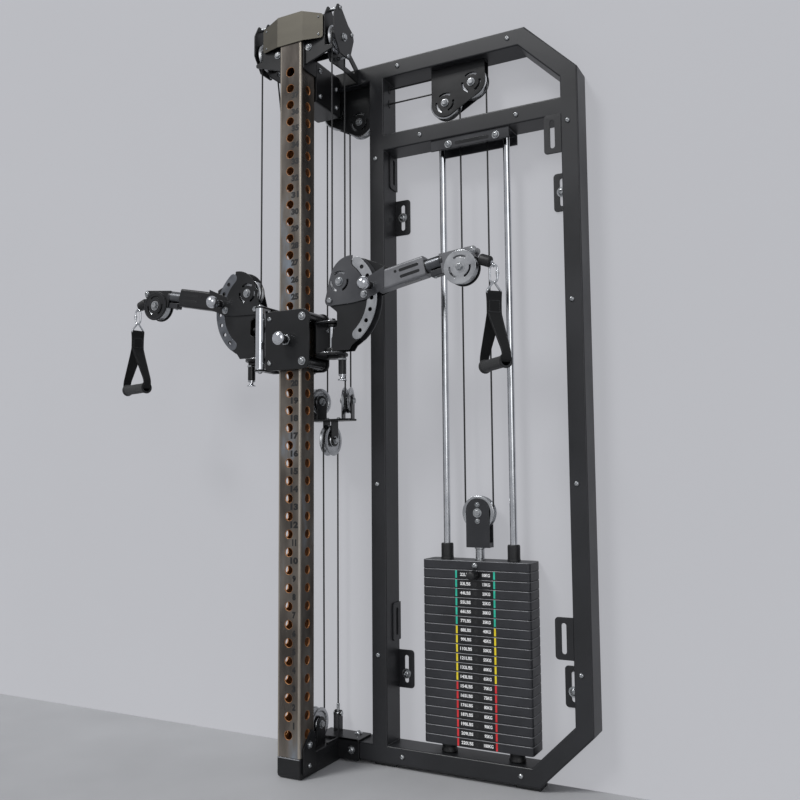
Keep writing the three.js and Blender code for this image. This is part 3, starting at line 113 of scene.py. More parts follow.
# ---- materials ---------------------------------------------------------------
class Finish:
    """A Principled material whose colour, roughness and bump come from noise in object space."""

    def __init__(self, name, low, high, rough, metal=0.0, patch=6.0, stretch=(1, 1, 1), vary=0.06,
                 grain=1200.0, grain_stretch=(1, 1, 1), bump=0.12, depth=0.0002, **constants):
        self.material = bpy.data.materials.new(name)
        self.material.use_nodes = True
        self.tree = self.material.node_tree
        self.shader = self.tree.nodes["Principled BSDF"]
        self.coordinate = self.tree.nodes.new("ShaderNodeTexCoord")
        cloud = self.noise(patch, stretch, 5.0)
        self.ramp = self.tree.nodes.new("ShaderNodeValToRGB")
        first, last = self.ramp.color_ramp.elements
        first.position, last.position = 0.32, 0.68
        first.color, last.color = linear(low), linear(high)
        self.link(cloud.outputs["Fac"], self.ramp.inputs["Fac"])
        self.link(self.ramp.outputs["Color"], self.shader.inputs["Base Color"])
        spread = self.tree.nodes.new("ShaderNodeMapRange")
        for key, value in (("From Min", 0.3), ("From Max", 0.7), ("To Min", max(rough - vary, 0.02)),
                           ("To Max", min(rough + vary, 1.0))):
            spread.inputs[key].default_value = value
        self.link(cloud.outputs["Fac"], spread.inputs["Value"])
        self.link(spread.outputs["Result"], self.shader.inputs["Roughness"])
        self.shader.inputs["Metallic"].default_value = metal
        for key, value in constants.items():
            self.shader.inputs[key.replace("_", " ")].default_value = value
        fine = self.noise(grain, grain_stretch, 2.0)
        self.bump = self.tree.nodes.new("ShaderNodeBump")
        self.bump.inputs["Strength"].default_value = bump
        self.bump.inputs["Distance"].default_value = depth
        self.link(fine.outputs["Fac"], self.bump.inputs["Height"])
        self.link(self.bump.outputs["Normal"], self.shader.inputs["Normal"])

    def link(self, a, b):
        self.tree.links.new(a, b)

    def mapped(self, stretch=(1, 1, 1)):
        node = self.tree.nodes.new("ShaderNodeMapping")
        node.inputs["Scale"].default_value = stretch
        self.link(self.coordinate.outputs["Object"], node.inputs["Vector"])
        return node.outputs["Vector"]

    def noise(self, scale, stretch, detail):
        node = self.tree.nodes.new("ShaderNodeTexNoise")
        node.inputs["Scale"].default_value = scale
        node.inputs["Detail"].default_value = detail
        self.link(self.mapped(stretch), node.inputs["Vector"])
        return node

    def bands(self, scale, direction):
        node = self.tree.nodes.new("ShaderNodeTexWave")
        node.bands_direction = direction
        node.inputs["Scale"].default_value = scale
        node.inputs["Distortion"].default_value = 0.6
        self.link(self.mapped(), node.inputs["Vector"])
        return node.outputs["Fac"]

    def cells(self, scale):
        node = self.tree.nodes.new("ShaderNodeTexVoronoi")
        node.inputs["Scale"].default_value = scale
        self.link(self.mapped(), node.inputs["Vector"])
        return node.outputs["Distance"]

    def height(self, first, *others):
        """Bump from the product of the sockets."""
        for other in others:
            node = self.tree.nodes.new("ShaderNodeMath")
            node.operation = "MULTIPLY"
            self.link(first, node.inputs[0])
            self.link(other, node.inputs[1])
            first = node.outputs["Value"]
        self.link(first, self.bump.inputs["Height"])

    def middle(self, position, code):
        self.ramp.color_ramp.elements.new(position).color = linear(code)


def materials():
    made = {}

    def add(key, *args, **kwargs):
        made[key] = Finish(key, *args, **kwargs)
        return made[key]

    # painted and cast
    add("powder_coat", "#1C1D1F", "#252629", 0.4, patch=4.0, grain=2600.0, bump=0.2, depth=0.00015,
        Specular_IOR_Level=0.45)
    add("black_paint", "#121314", "#191A1C", 0.34, patch=9.0, grain=1500.0, bump=0.1, Specular_IOR_Level=0.4)
    # painted light: lighter greys that only the right arm takes, where the left arm of the same black finish stays
    # black
    add("cheek_grey", "#3F4043", "#4E4F52", 0.36, metal=0.3, patch=9.0, grain=1500.0, bump=0.1)
    add("arm_grey", "#66676A", "#7B7C7F", 0.36, metal=0.4, patch=12.0, grain=1500.0, bump=0.1)
    add("grey_paint", "#292A2D", "#353639", 0.36, metal=0.3, patch=9.0, grain=1500.0, bump=0.1)
    add("cast_plate", "#252629", "#303135", 0.45, metal=0.2, patch=14.0, grain=900.0, bump=0.3)
    # painted highlight: the light line along each weight plate's upper edge
    add("plate_edge", "#5D5E61", "#77787B", 0.4, metal=0.5, patch=25.0, grain=1500.0, bump=0.06)
    # bare metal
    steel = add("brushed_steel", "#3B3631", "#7E8791", 0.33, metal=0.5, patch=7.5, stretch=(1.6, 1.6, 0.5), vary=0.1,
                grain=900.0, grain_stretch=(1, 1, 0.02), bump=0.14, depth=0.0001)
    steel.middle(0.45, "#544E48")
    steel.middle(0.56, "#6C665F")
    # painted highlight: a lighter steel that the column's front corners take for the light along them
    add("steel_edge", "#9B9387", "#B5ADA1", 0.3, metal=0.9, patch=12.0, stretch=(1, 1, 0.4), bump=0.06)
    add("plate_steel", "#524F49", "#656259", 0.48, metal=0.9, patch=9.0, stretch=(0.3, 1, 1), vary=0.05,
        grain=900.0, grain_stretch=(0.02, 1, 1), bump=0.14, depth=0.0001)
    add("hole_edge", "#9A5F30", "#C08A58", 0.42, metal=0.2, patch=60.0, grain=900.0, bump=0.2)
    add("inner_scale", "#6E4526", "#9C6638", 0.55, metal=0.1, patch=40.0, grain=700.0, bump=0.2)
    add("chrome", "#C3C6CA", "#D6D8DB", 0.12, metal=1.0, patch=30.0, vary=0.03, grain=1500.0, grain_stretch=(1, 1, 0.1),
        bump=0.02)
    add("alloy", "#A6A8AB", "#C2C4C6", 0.27, metal=1.0, patch=25.0, grain=1600.0, bump=0.05)
    add("zinc", "#A0A3A6", "#BDBFC0", 0.27, metal=1.0, patch=90.0, vary=0.08, grain=1800.0, bump=0.06)
    add("dark_steel", "#4A4B4E", "#66686B", 0.3, metal=1.0, patch=25.0, grain=1500.0, grain_stretch=(0.05, 1, 1),
        bump=0.1)
    add("strip_grey", "#62656A", "#7D8085", 0.3, metal=0.9, patch=25.0, grain=1500.0, bump=0.06)
    # rubber, print and cloth
    add("rubber", "#0F1011", "#17181A", 0.5, patch=30.0, grain=1500.0, bump=0.2)
    add("gloss_black", "#0B0C0D", "#121315", 0.2, patch=20.0, bump=0.05, Coat_Weight=0.3)
    add("strip", "#090A0C", "#101114", 0.38, patch=30.0, grain=2000.0, bump=0.06)
    add("print_white", "#E2E3E4", "#F2F2F2", 0.5, patch=60.0, grain=2500.0, bump=0.06)
    add("print_dark", "#050506", "#0A0B0D", 0.6, patch=60.0, grain=2500.0, bump=0.06)
    for key, low, high in (("bar_green", "#21A58C", "#2FC0A4"), ("bar_yellow", "#D8C01A", "#EAD52C"),
                           ("bar_red", "#C4242B", "#DA3238")):
        add(key, low, high, 0.45, patch=60.0, grain=2000.0, bump=0.06)
    add("stitch", "#3A3B3E", "#505154", 0.7, patch=200.0, grain=900.0, bump=0.3)
    foam = add("foam", "#121314", "#1E1F21", 0.7, patch=220.0, grain=900.0, bump=0.9, depth=0.0006, Sheen_Weight=0.1)
    foam.height(foam.cells(520.0))
    web = add("webbing", "#0C0D0E", "#151617", 0.7, patch=160.0, grain=900.0, bump=0.7, depth=0.0005,
              Specular_IOR_Level=0.3)
    web.height(web.bands(170.0, "Z"), web.bands(150.0, "X"))
    cable = add("cable", "#0D0E0F", "#17181A", 0.36, patch=90.0, grain=900.0, bump=0.25, depth=0.0003)
    cable.height(cable.bands(150.0, "DIAGONAL"))
    # stage
    add("floor", "#A9AAAC", "#B2B3B5", 0.6, patch=3.0, grain=300.0, bump=0.05)
    add("wall", "#BDBEC2", "#C2C3C7", 0.85, patch=1.2, grain=250.0, bump=0.03)
    return {key: finish.material for key, finish in made.items()}


M = materials()


# ---- outlines ----------------------------------------------------------------
# Loops of (u, v) points in a plane. Angles in degrees.
def polar(u, v, radius, angle):
    return u + radius * math.cos(math.radians(angle)), v + radius * math.sin(math.radians(angle))


def arc(u, v, radius, start, end, steps=16):
    return [polar(u, v, radius, start + (end - start) * i / steps) for i in range(steps + 1)]


def circle(u, v, radius, sides=32):
    return [polar(u, v, radius, 360 * i / sides) for i in range(sides)]


def slot(u, v, half, radius, angle=0.0, steps=8):
    """A long hole whose two ends are half apart from the middle."""
    c, s = math.cos(math.radians(angle)), math.sin(math.radians(angle))
    return (arc(u + half * c, v + half * s, radius, angle - 90, angle + 90, steps)
            + arc(u - half * c, v - half * s, radius, angle + 90, angle + 270, steps))


def arc_slots(u, v, radius, width=6.4, sweep=78.0):
    """Three slots on a circle, as in the cheeks around a pulley's axle."""
    holes = []
    for a in (90, 210, 330):
        holes.append(arc(u, v, radius + width / 2, a - sweep / 2, a + sweep / 2, 10)
                     + arc(u, v, radius - width / 2, a + sweep / 2, a - sweep / 2, 10))
    return holes


def rectangle(u0, u1, v0, v1):
    return [(u0, v0), (u1, v0), (u1, v1), (u0, v1)]


def hull(*groups):
    points = sorted(p for group in groups for p in group)

    def chain(items):
        kept = []
        for p in items:
            while len(kept) > 1 and ((kept[-1][0] - kept[-2][0]) * (p[1] - kept[-2][1])
                                     - (kept[-1][1] - kept[-2][1]) * (p[0] - kept[-2][0])) <= 0:
                kept.pop()
            kept.append(p)
        return kept

    return chain(points)[:-1] + chain(points[::-1])[:-1]


def shares(table, u, v, wide, tall):
    """Points given as shares of a rectangle."""
    return [(u + a * wide, v + c * tall) for a, c in table]


def area(loop):
    return sum(loop[i - 1][0] * loop[i][1] - loop[i][0] * loop[i - 1][1] for i in range(len(loop)))


def fillet(points, radius, steps=5):
    """The outline with rounded corners; radius is one size or a list of one for each corner."""
    out = []
    count = len(points)
    for i, point in enumerate(points):
        size = radius[i] if isinstance(radius, (list, tuple)) else radius
        here = Vector(point)
        back, ahead = Vector(points[i - 1]) - here, Vector(points[(i + 1) % count]) - here
        length = min(back.length, ahead.length)
        back.normalize()
        ahead.normalize()
        angle = back.angle(ahead)
        if size <= 0 or angle > math.pi - 0.06:
            out.append(tuple(here))
            continue
        reach = min(size / math.tan(angle / 2), length * 0.48)
        bend = reach * math.tan(angle / 2)
        centre = here + (back + ahead).normalized() * (bend / math.sin(angle / 2))
        start, end = here + back * reach - centre, here + ahead * reach - centre
        first = math.atan2(start.y, start.x)
        sweep = (math.atan2(end.y, end.x) - first + math.pi) % (2 * math.pi) - math.pi
        for k in range(steps + 1):
            a = first + sweep * k / steps
            out.append((centre.x + bend * math.cos(a), centre.y + bend * math.sin(a)))
    return out


def inset(loop, distance):
    """The loop moved to the left of its walk by distance."""
    out = []
    for i, point in enumerate(loop):
        here = Vector(point)
        a = (here - Vector(loop[i - 1])).normalized()
        b = (Vector(loop[(i + 1) % len(loop)]) - here).normalized()
        side = Vector((-a.y, a.x)) + Vector((-b.y, b.x))
        out.append(tuple(here + side * (distance / max(side.length_squared / 2, 0.35))))
    return out


# ---- solids ------------------------------------------------------------------
AXIS = {"X": lambda u, v, w: (w, u, v), "Y": lambda u, v, w: (u, w, v), "Z": lambda u, v, w: (u, v, w)}


def quads(rings):
    """The faces between each ring of vertices and the next."""
    return [(a[i - 1], a[i], b[i], b[i - 1]) for a, b in zip(rings, rings[1:]) for i in range(len(a))]


class Build:
    """Collects the faces of one piece."""

    def __init__(self, turn=Matrix.Identity(4)):
        self.verts, self.faces, self.index, self.names = [], [], [], []
        self.turn = turn

    def add(self, verts, groups):
        """Adds vertices, and the faces of each (faces, material) group over them."""
        base = len(self.verts)
        self.verts += [tuple(self.turn @ Vector(v)) for v in verts]
        for faces, mat in groups:
            if mat not in self.names:
                self.names.append(mat)
            self.faces += [tuple(base + i for i in face) for face in faces]
            self.index += [self.names.index(mat)] * len(faces)

    def prism(self, axis, outline, low, high, mat, holes=(), bevel=0.0, hole_bevel=0.0, steps=2,
              hole_mat=None, inner_mat=None, highlight_mat=None):
        """A plate across the axis with rounded edges.

        inner_mat paints the face at the first of the two levels; the edge material paints the rounding at the higher
        one, used as a painted highlight."""
        flip = low > high
        low, high = sorted((low, high))
        loops = [outline if area(outline) > 0 else outline[::-1]]
        loops += [hole[::-1] if area(hole) > 0 else hole for hole in holes]
        verts, groups = [], []
        caps, ends = ([], []), ([], [])
        for number, loop in enumerate(loops):
            edge = min(hole_bevel if number else bevel, (high - low) * 0.45)
            levels = [(low, 0.0), (high, 0.0)]
            if edge > 0:
                levels = [(low + edge * (1 - math.cos(t)), edge * (1 - math.sin(t)))
                          for t in (math.pi / 2 * k / steps for k in range(steps + 1))]
                levels += [(high + low - w, d) for w, d in reversed(levels)]
            rings = []
            for w, d in levels:
                ring = inset(loop, d) if d else loop
                rings.append([len(verts) + i for i in range(len(ring))])
                verts += [AXIS[axis](u, v, w) for u, v in ring]
                if w in (levels[0][0], levels[-1][0]):
                    side = int(w == levels[-1][0])
                    caps[side].append([Vector((u, v, 0)) for u, v in ring])
                    ends[side].extend(rings[-1])
            faces = quads(rings)
            rim = len(faces) - (steps if highlight_mat and edge and not number else 0) * len(loop)
            groups.append((faces[:rim], hole_mat or mat if number else mat))
            groups.append((faces[rim:], highlight_mat or mat))
        for side in (0, 1):
            cap = [ends[side]]
            if len(loops) > 1:
                cap = [[ends[side][i] for i in tri] for tri in tessellate_polygon(caps[side])]
            groups.append((cap, inner_mat or mat if side == flip else mat))
        self.add(verts, groups)

    def pair(self, axis, outline, middle, inner, outer, mat, holes=(), **edges):
        """Two plates that face each other across the middle."""
        for s in (-1, 1):
            self.prism(axis, outline, middle + s * inner, middle + s * outer, mat, holes, **edges)

    def lathe(self, profile, centre, direction, mat, sides=32, closed=False, mats=None):
        """A profile of (radius, height) points turned about the direction; mats names one material for each band."""
        up = Vector(direction).normalized()
        across = up.orthogonal().normalized()
        if abs(up.x) < 0.9:
            across = (Vector(X1) - up * up.x).normalized()
        third = up.cross(across)
        verts, rings = [], []
        for radius, height in profile:
            middle = Vector(centre) + up * height
            count = sides if radius >= 1e-6 else 1
            rings.append([len(verts) + i for i in range(count)])
            for i in range(count):
                a = 2 * math.pi * i / sides
                verts.append(tuple(middle + across * (radius * math.cos(a)) + third * (radius * math.sin(a))))
        groups = [([], mat)]
        for number, (a, b) in enumerate(zip(rings, rings[1:] + rings[:1] if closed else rings[1:])):
            if len(a) == 1:
                faces = [(a[0], b[i], b[i - 1]) for i in range(sides)]
            elif len(b) == 1:
                faces = [(a[i - 1], a[i], b[0]) for i in range(sides)]
            else:
                faces = quads([a, b])
            groups.append((faces, mats[number] if mats else mat))
        if not closed:
            groups.append(([ring for ring in (rings[0], rings[-1]) if len(ring) > 1], mat))
        self.add(verts, groups)

    def ring(self, profile, centre, direction, mat, sides, mats=None):
        self.lathe(profile, centre, direction, mat, sides, True, mats)

    def rod(self, start, end, radius, mat, sides=24, chamfer=0.8):
        way = Vector(end) - Vector(start)
        length = way.length
        c = min(chamfer, radius * 0.4, length * 0.3)
        self.lathe([(0, 0), (radius - c, 0), (radius, c), (radius, length - c), (radius - c, length), (0, length)],
                   start, way, mat, sides)

    def pipe(self, start, end, outer, inner, mat, sides=32, chamfer=0.6):
        way = Vector(end) - Vector(start)
        length, c = way.length, chamfer
        self.ring([(inner, 0), (outer - c, 0), (outer, c), (outer, length - c), (outer - c, length), (inner, length)],
                  start, way, mat, sides)

    def button(self, centre, direction, radius, mat="zinc", washer=0.0, sides=20):
        """A domed socket screw, on a washer where one is asked for."""
        start = radius * 0.18 if washer else 0.0
        if washer:
            self.lathe([(0, 0), (washer, 0), (washer, start), (0, start)], centre, direction, mat, 24)
        profile = [(0, 0.3), (0.42, 0.3), (0.46, 0.66), (0.62, 0.64), (0.84, 0.46), (0.97, 0.22), (1, 0.05), (1, -0.1)]
        self.lathe([(radius * a, radius * h + start) for a, h in profile], centre, direction, mat, sides)

    def hexagon(self, centre, direction, radius, height, washer=0.0):
        """A hexagon nut with a round end, on a washer where one is asked for."""
        start = 1.4 if washer else 0.0
        if washer:
            self.lathe([(0, 0), (washer - 0.4, 0), (washer, 0.4), (washer, start), (0, start)],
                       centre, direction, "zinc", 24)
        top = start + height
        self.lathe([(0, start - 0.2), (radius, start - 0.2), (radius, top - 0.12 * radius), (radius * 0.86, top),
                    (0, top)], centre, direction, "zinc", 6)
        self.lathe([(radius * 0.72, top - 0.3), (radius * 0.72, top + 0.25), (0, top + 0.25)],
                   centre, direction, "zinc", 20)

    def axle(self, centre, direction, reach, shank, radius=9.5, height=6, washer=12, core=6):
        """A bolt across two cheeks: its shank and a nut on the outside of each."""
        centre, way = Vector(centre), Vector(direction)
        if shank:
            self.rod(centre - way * shank, centre + way * shank, core, "zinc")
        for s in (-1, 1):
            self.hexagon(centre + way * (s * reach), way * s, radius, height, washer)

    def tube(self, points, radius, mat, sides=10, closed=False):
        """A round wire along the points."""
        points = [Vector(p) for p in points]
        count = len(points)
        tangents = []
        for i in range(count):
            if closed:
                t = points[(i + 1) % count] - points[i - 1]
            else:
                t = points[min(i + 1, count - 1)] - points[max(i - 1, 0)]
            tangents.append(t.normalized())
        side = tangents[0].orthogonal().normalized()
        verts, rings = [], []
        for i in range(count):
            if i:
                side = (tangents[i - 1].rotation_difference(tangents[i]) @ side).normalized()
            other = tangents[i].cross(side)
            rings.append([len(verts) + k for k in range(sides)])
            for k in range(sides):
                a = 2 * math.pi * k / sides
                verts.append(points[i] + side * (radius * math.cos(a)) + other * (radius * math.sin(a)))
        faces = quads(rings + rings[:1]) if closed else quads(rings) + [rings[0], rings[-1]]
        self.add(verts, [(faces, mat)])

    def box(self, x0, x1, y0, y1, z0, z1, mat, bevel=0.8, axis="Z", corner=0.0):
        """A block with rounded edges, and with rounded corners about the axis where corner is given."""
        spans = {"X": (y0, y1, z0, z1, x0, x1), "Y": (x0, x1, z0, z1, y0, y1), "Z": (x0, x1, y0, y1, z0, z1)}
        u0, u1, v0, v1, low, high = spans[axis]
        outline = rectangle(u0, u1, v0, v1)
        if corner:
            outline = fillet(outline, corner, 4)
        self.prism(axis, outline, low, high, mat, bevel=bevel)

    def words(self, text, x, z, y, height, mat, width):
        """Text on a face that looks to -Y, about its middle."""
        curve = bpy.data.curves.new("letters", "FONT")
        curve.body = text
        curve.resolution_u = 3
        curve.offset = 0.03 if text[-1].isalpha() else 0.065
        curve.extrude = 0.15
        obj = bpy.data.objects.new("letters", curve)
        mesh = bpy.data.meshes.new_from_object(obj)
        verts = [v.co.copy() for v in mesh.vertices]
        faces = [tuple(p.vertices) for p in mesh.polygons]
        bpy.data.objects.remove(obj)
        bpy.data.curves.remove(curve)
        bpy.data.meshes.remove(mesh)
        low, high = (Vector([pick(v[i] for v in verts) for i in range(2)]) for pick in (min, max))
        middle, wide, tall = (low + high) / 2, width / (high.x - low.x), height / (high.y - low.y)
        self.add([((v.x - middle.x) * wide + x, y - v.z, (v.y - middle.y) * tall + z) for v in verts], [(faces, mat)])


def shade(mesh, limit=50.0):
    """Normals weighted by area, so that flat faces stay flat beside their rounded edges."""
    bm = bmesh.new()
    bm.from_mesh(mesh)
    bmesh.ops.recalc_face_normals(bm, faces=bm.faces)
    for face in bm.faces:
        face.smooth = True
    bm.to_mesh(mesh)
    areas = [face.calc_area() for face in bm.faces]
    least = math.cos(math.radians(limit))
    corner = {}
    for vert in bm.verts:
        around = [(face.index, face.normal, areas[face.index]) for face in vert.link_faces]
        for number, normal, _ in around:
            total = Vector((0, 0, 0))
            for _, other, size in around:
                if other.dot(normal) > least:
                    total += other * size
            corner[vert.index, number] = total.normalized() if total.length > 0 else normal.copy()
    bm.free()
    mesh.normals_split_custom_set([corner[mesh.loops[k].vertex_index, face.index]
                                   for face in mesh.polygons for k in face.loop_indices])


def piece(name, build, body, node):
    """Makes the object, lets it ride on its body and stand in for its solid."""
    mesh = bpy.data.meshes.new(name)
    mesh.from_pydata([put(*v) for v in build.verts], [], build.faces)
    for key in build.names:
        mesh.materials.append(M[key])
    mesh.polygons.foreach_set("material_index", build.index)
    shade(mesh)
    obj = bpy.data.objects.new(name, mesh)
    bpy.context.scene.collection.objects.link(obj)
    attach(obj, body)
    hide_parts(node)
    return obj


def mirror(side):
    return Matrix.Diagonal((side, 1, 1, 1))


# ---- column ------------------------------------------------------------------
def column():
    b = Build()
    corner, lead = 5.0, 1.5
    reach = HALF - corner - lead
    drills = [HOLE_1 + i * PITCH for i in range(HOLES)]

    def wall(axis, start, end, inside, outside, holes=()):
        b.prism(axis, rectangle(start, end, COLUMN_LOW, COLUMN_HIGH), inside, outside, "brushed_steel", holes,
                hole_bevel=0.9, hole_mat="hole_edge", inner_mat="inner_scale")

    wall("Y", -reach, reach, SKIN, 0,
         [circle(0, z, HOLE_R, 28) for z in drills] + [circle(0, HOLE_1 + HOLES * PITCH, 14.0, 28)])
    wall("Y", -reach, reach, DEEP - SKIN, DEEP)
    turn = (arc(HALF - corner, corner, corner, -90, 0, 6)
            + [(HALF, corner + lead), (HALF - SKIN, corner + lead), (HALF - SKIN, SKIN), (reach, SKIN), (reach, 0)])
    for side in (-1, 1):
        wall("X", corner + lead, DEEP - corner - lead, side * (HALF - SKIN), side * HALF,
             [circle(HALF, z, HOLE_R, 28) for z in drills])
        # the front corners are painted lighter, a painted highlight; the back ones are plain brushed steel
        for back in (0, 1):
            b.prism("Z", [(side * x, DEEP - y if back else y) for x, y in turn], COLUMN_LOW, COLUMN_HIGH,
                    "brushed_steel" if back else "steel_edge")
    b.prism("Z", fillet(rectangle(-33, 33, 4.5, 70.5), 3), COLUMN_HIGH - 6, COLUMN_HIGH - 1.5, "rubber", bevel=1)
    for k in range(1, HOLES):
        width = {1: 4.5, 11: 14.0}.get(k, 26.0 if k > 9 else 11.5)
        b.words(str(k), 17.8, HOLE_1 + (k - 1) * PITCH + 27, 0, 19.0, "print_dark", width)
    piece("column_tube_numbered", b, "frame", "column")


# ---- foot and anchor ---------------------------------------------------------
def foot():
    b = Build()
    back, top = FRONT - GAP, 58.4
    b.prism("X", fillet([(0, 12), (3, 5), (12, 0), (back, 0), (back, top), (0, top)], [3, 4, 3, 0, 3, 4], 3),
            -HALF, HALF, BLACK, bevel=3.5, steps=3)
    # a thin light strip along the beam's top front edge: a painted highlight
    b.box(-HALF + 1, HALF - 1, -0.25, 2, 54.6, 57.4, "alloy", bevel=0.2)
    boot = fillet([(12, 12), (74, 12), (74, 111.7), (62, 123.7), (50, 123.7), (12, 82.7)], 8, 4)
    b.pair("X", boot, 0, HALF + GAP, HALF + 5.5, BLACK, bevel=1.2)
    for s in (-1, 1):
        b.button((s * (HALF + 5.5), 42, 88), (s, 0, 0), 8.5, washer=11)
        b.button((s * (HALF + 5.5), 42, 32), (s, 0, 0), 6.5)
    b.pair("X", hull(circle(BASE_Y, BASE_Z, 22, 36), [(123, 57.4), (169, 57.4)]), 0, CHEEK, CHEEK + 4, BLACK, bevel=1.0)
    b.axle((0, BASE_Y, BASE_Z), X1, CHEEK + 4, CHEEK + 4)
    b.pair("X", hull(circle(ANCHOR_Y, 116, 11, 24), [(256, 61), (278, 61)]), 0, 6, 10, BLACK, bevel=0.8)
    b.axle((0, ANCHOR_Y, 116), X1, 10, 10, 7, 4.5, 0, 4)
    # angled plate that joins the beam to the wall frame
    front, high = 207.2, SEAT + 5.5
    b.prism("Y", fillet(rectangle(HALF - 1, 106, 6, high), [0, 6, 6, 0]), front, back, BLACK, bevel=1.0)
    b.prism("Z", fillet(rectangle(-HALF, 106, front, 286), [2, 6, 6, 2]), SEAT, high, BLACK, bevel=1.0)
    b.box(32, HALF, 146, back, 57.4, high, BLACK)
    b.button((81, front, 36), OUT, 9, washer=12)
    b.button((72, 266, high), Z1, 9, washer=12)
    piece("foot_beam_with_boots", b, "frame", "foot_beam")


# ---- wall frame --------------------------------------------------------------
def wall_frame():
    b = Build()
    chamfer, wide, low, high = 148.0, 49.0, FLOOR_TUBE, TOP - TUBE
    left, right = LEFT + wide, RIGHT - wide
    crop = chamfer - wide * (2 - math.sqrt(2))
    outline = [(-HALF, 10), (RIGHT - chamfer, 10), (RIGHT, 10 + chamfer), (RIGHT, TOP - chamfer),
               (RIGHT - chamfer, TOP), (-43, TOP), (-43, high), (LEFT, high), (LEFT, low), (-HALF, low)]
    upper = [(left, BAR_HIGH), (right, BAR_HIGH), (right, high - crop), (right - crop, high), (left, high)]
    lower = [(left, low), (right - crop, low), (right, low + crop), (right, BAR_LOW), (left, BAR_LOW)]
    b.prism("Y", fillet(outline, [3, 2, 2, 2, 2, 3, 3, 0, 0, 3], 3), FRONT, BACK, "powder_coat",
            [fillet(upper, 1.5, 2), fillet(lower, 1.5, 2)], bevel=4.0, hole_bevel=4.0, steps=4)
    screws = [(245, 2071), (596, 2070), (318, 1841.5), (618, 1841), (244, 36), (596, 36)]
    for x, z in screws + [(x, z) for x in (168.5, 765) for z in (1795, 1300, 807, 313)]:
        b.button((x, FRONT, z), OUT, 7)

    def tab(axis, start, end, middle, z, face, thick=4, radii=(10, 0, 0, 10)):
        """A plate with a long hole for a screw."""
        b.prism(axis, fillet(rectangle(start, end, z, z + 110), radii), face, face + thick, "powder_coat",
                [slot(middle, z + 55, 33.5, 6.5, 90)], bevel=0.9, hole_bevel=0.6)

    for z, screw in ((208, 42), (1569, 55)):
        tab("Y", left - 1, left + 48, left + 24, z, BACK - 4, radii=(0, 10, 10, 0))
        tab("Y", right - 48, right + 1, right - 24, z, BACK - 4)
        for x in (left + 24, right - 24):
            b.button((x, BACK - 4, z + screw), OUT, 10.5, washer=14.5)
        tab("Y", right - 48, right + 1, right - 24, z + 140, FRONT)
        tab("X", BACK - 48, BACK, BACK - 24, z + 140, left - 1, 5)
    for x in (LEFT, RIGHT - chamfer - 71):
        b.box(x, x + 71, FRONT + 12, BACK - 12, 0, 11, "rubber", bevel=2.0, corner=6)
    # bushings where the cables pass through the tubes
    for x, face in ((LEFT, -1), (left, 1)):
        for z in (1976.7, 2021.9):
            b.prism("X", slot(MID_Y, z, 5, 7.5, 90), x, x + face * 1.6, "rubber", bevel=0.6)
    for z, face in ((BAR_LOW - 6, -1), (BAR_HIGH, 1)):
        for x in (STACK_X - LARGE, STACK_X + LARGE):
            b.lathe([(0, 0), (8.5, 0), (8.5, 1.2), (7.5, 2.2), (0, 2.2)], (x, MID_Y, z), (0, 0, face), "rubber", 24)
    # channel that holds the guide rods' tops, and their collars below
    y0, y1, low, web, top = MID_Y - 37.5, MID_Y + 37.5, BAR_LOW - 32, BAR_LOW - 6, BAR_LOW + 0.6
    channel = [(y0, low), (y0 + 6, low), (y0 + 6, web), (y1 - 6, web), (y1 - 6, low), (y1, low), (y1, top), (y0, top)]
    b.prism("X", fillet(channel, [1.5, 1.5, 4, 4, 1.5, 1.5, 0, 0], 3), STACK_X - 121.5, STACK_X + 121.5,
            "grey_paint", bevel=1.2)
    # a thin gloss black patch in the shape of the slot: painted shade standing in for the slot's hollow
    b.prism("Y", slot(STACK_X + 8, low + 13, 48, 5), y0 - 0.3, y0 + 1, "gloss_black", bevel=0.2)
    for x in (STACK_X - 65, STACK_X + 82):
        b.button((x, y0, low + 13), OUT, 8.5, washer=11)
    for x in ROD_X:
        b.ring([(10.2, 0), (15, 0), (16, 1), (16, 7), (15, 8), (10.2, 8)], (x, MID_Y, SEAT), Z1, BLACK, 28)
    piece("wall_frame_tubes", b, "frame", "wall_frame")


def rods():
    for word, x in zip(("left", "right"), ROD_X):
        b = Build()
        b.rod((x, MID_Y, SEAT), (x, MID_Y, BAR_LOW - 6 - GAP), 10, "chrome", 32, 1.2)
        piece(f"guide_rod_{word}_polished", b, "frame", f"guide_rod_{word}")


# ---- head --------------------------------------------------------------------
def name_plate():
    b = Build()
    low, high, back, thick = 2104.0, 2194.4, -GAP, 3
    crown, half, wide, fold, drop = 40.0, 45.0, 106.0, 14.0, 18.0
    at_fold = high - drop * (half - crown) / (wide - crown)
    b.prism("Y", [(-half, low), (half, low), (half, at_fold), (crown, high), (-crown, high), (-half, at_fold)],
            back - thick, back, "plate_steel", bevel=0.4)
    length = math.hypot(wide - half, fold)
    wing = fillet([(-0.6, low), (length, low), (length, high - drop), (-0.6, at_fold)], [0, 9, 9, 0], 5)
    lean = Matrix.Translation((half, back - thick, 0)) @ Matrix.Rotation(math.atan2(fold, wide - half), 4, "Z")
    for s in (-1, 1):
        b.turn = mirror(s) @ lean
        b.prism("Y", wing, 0, thick, "plate_steel", bevel=0.4)
        for z in (low + 11, high - drop - 8):
            b.button((length - 14, 0, z), OUT, 3.2, sides=16)
    piece("name_plate_bare", b, "frame", "name_plate")


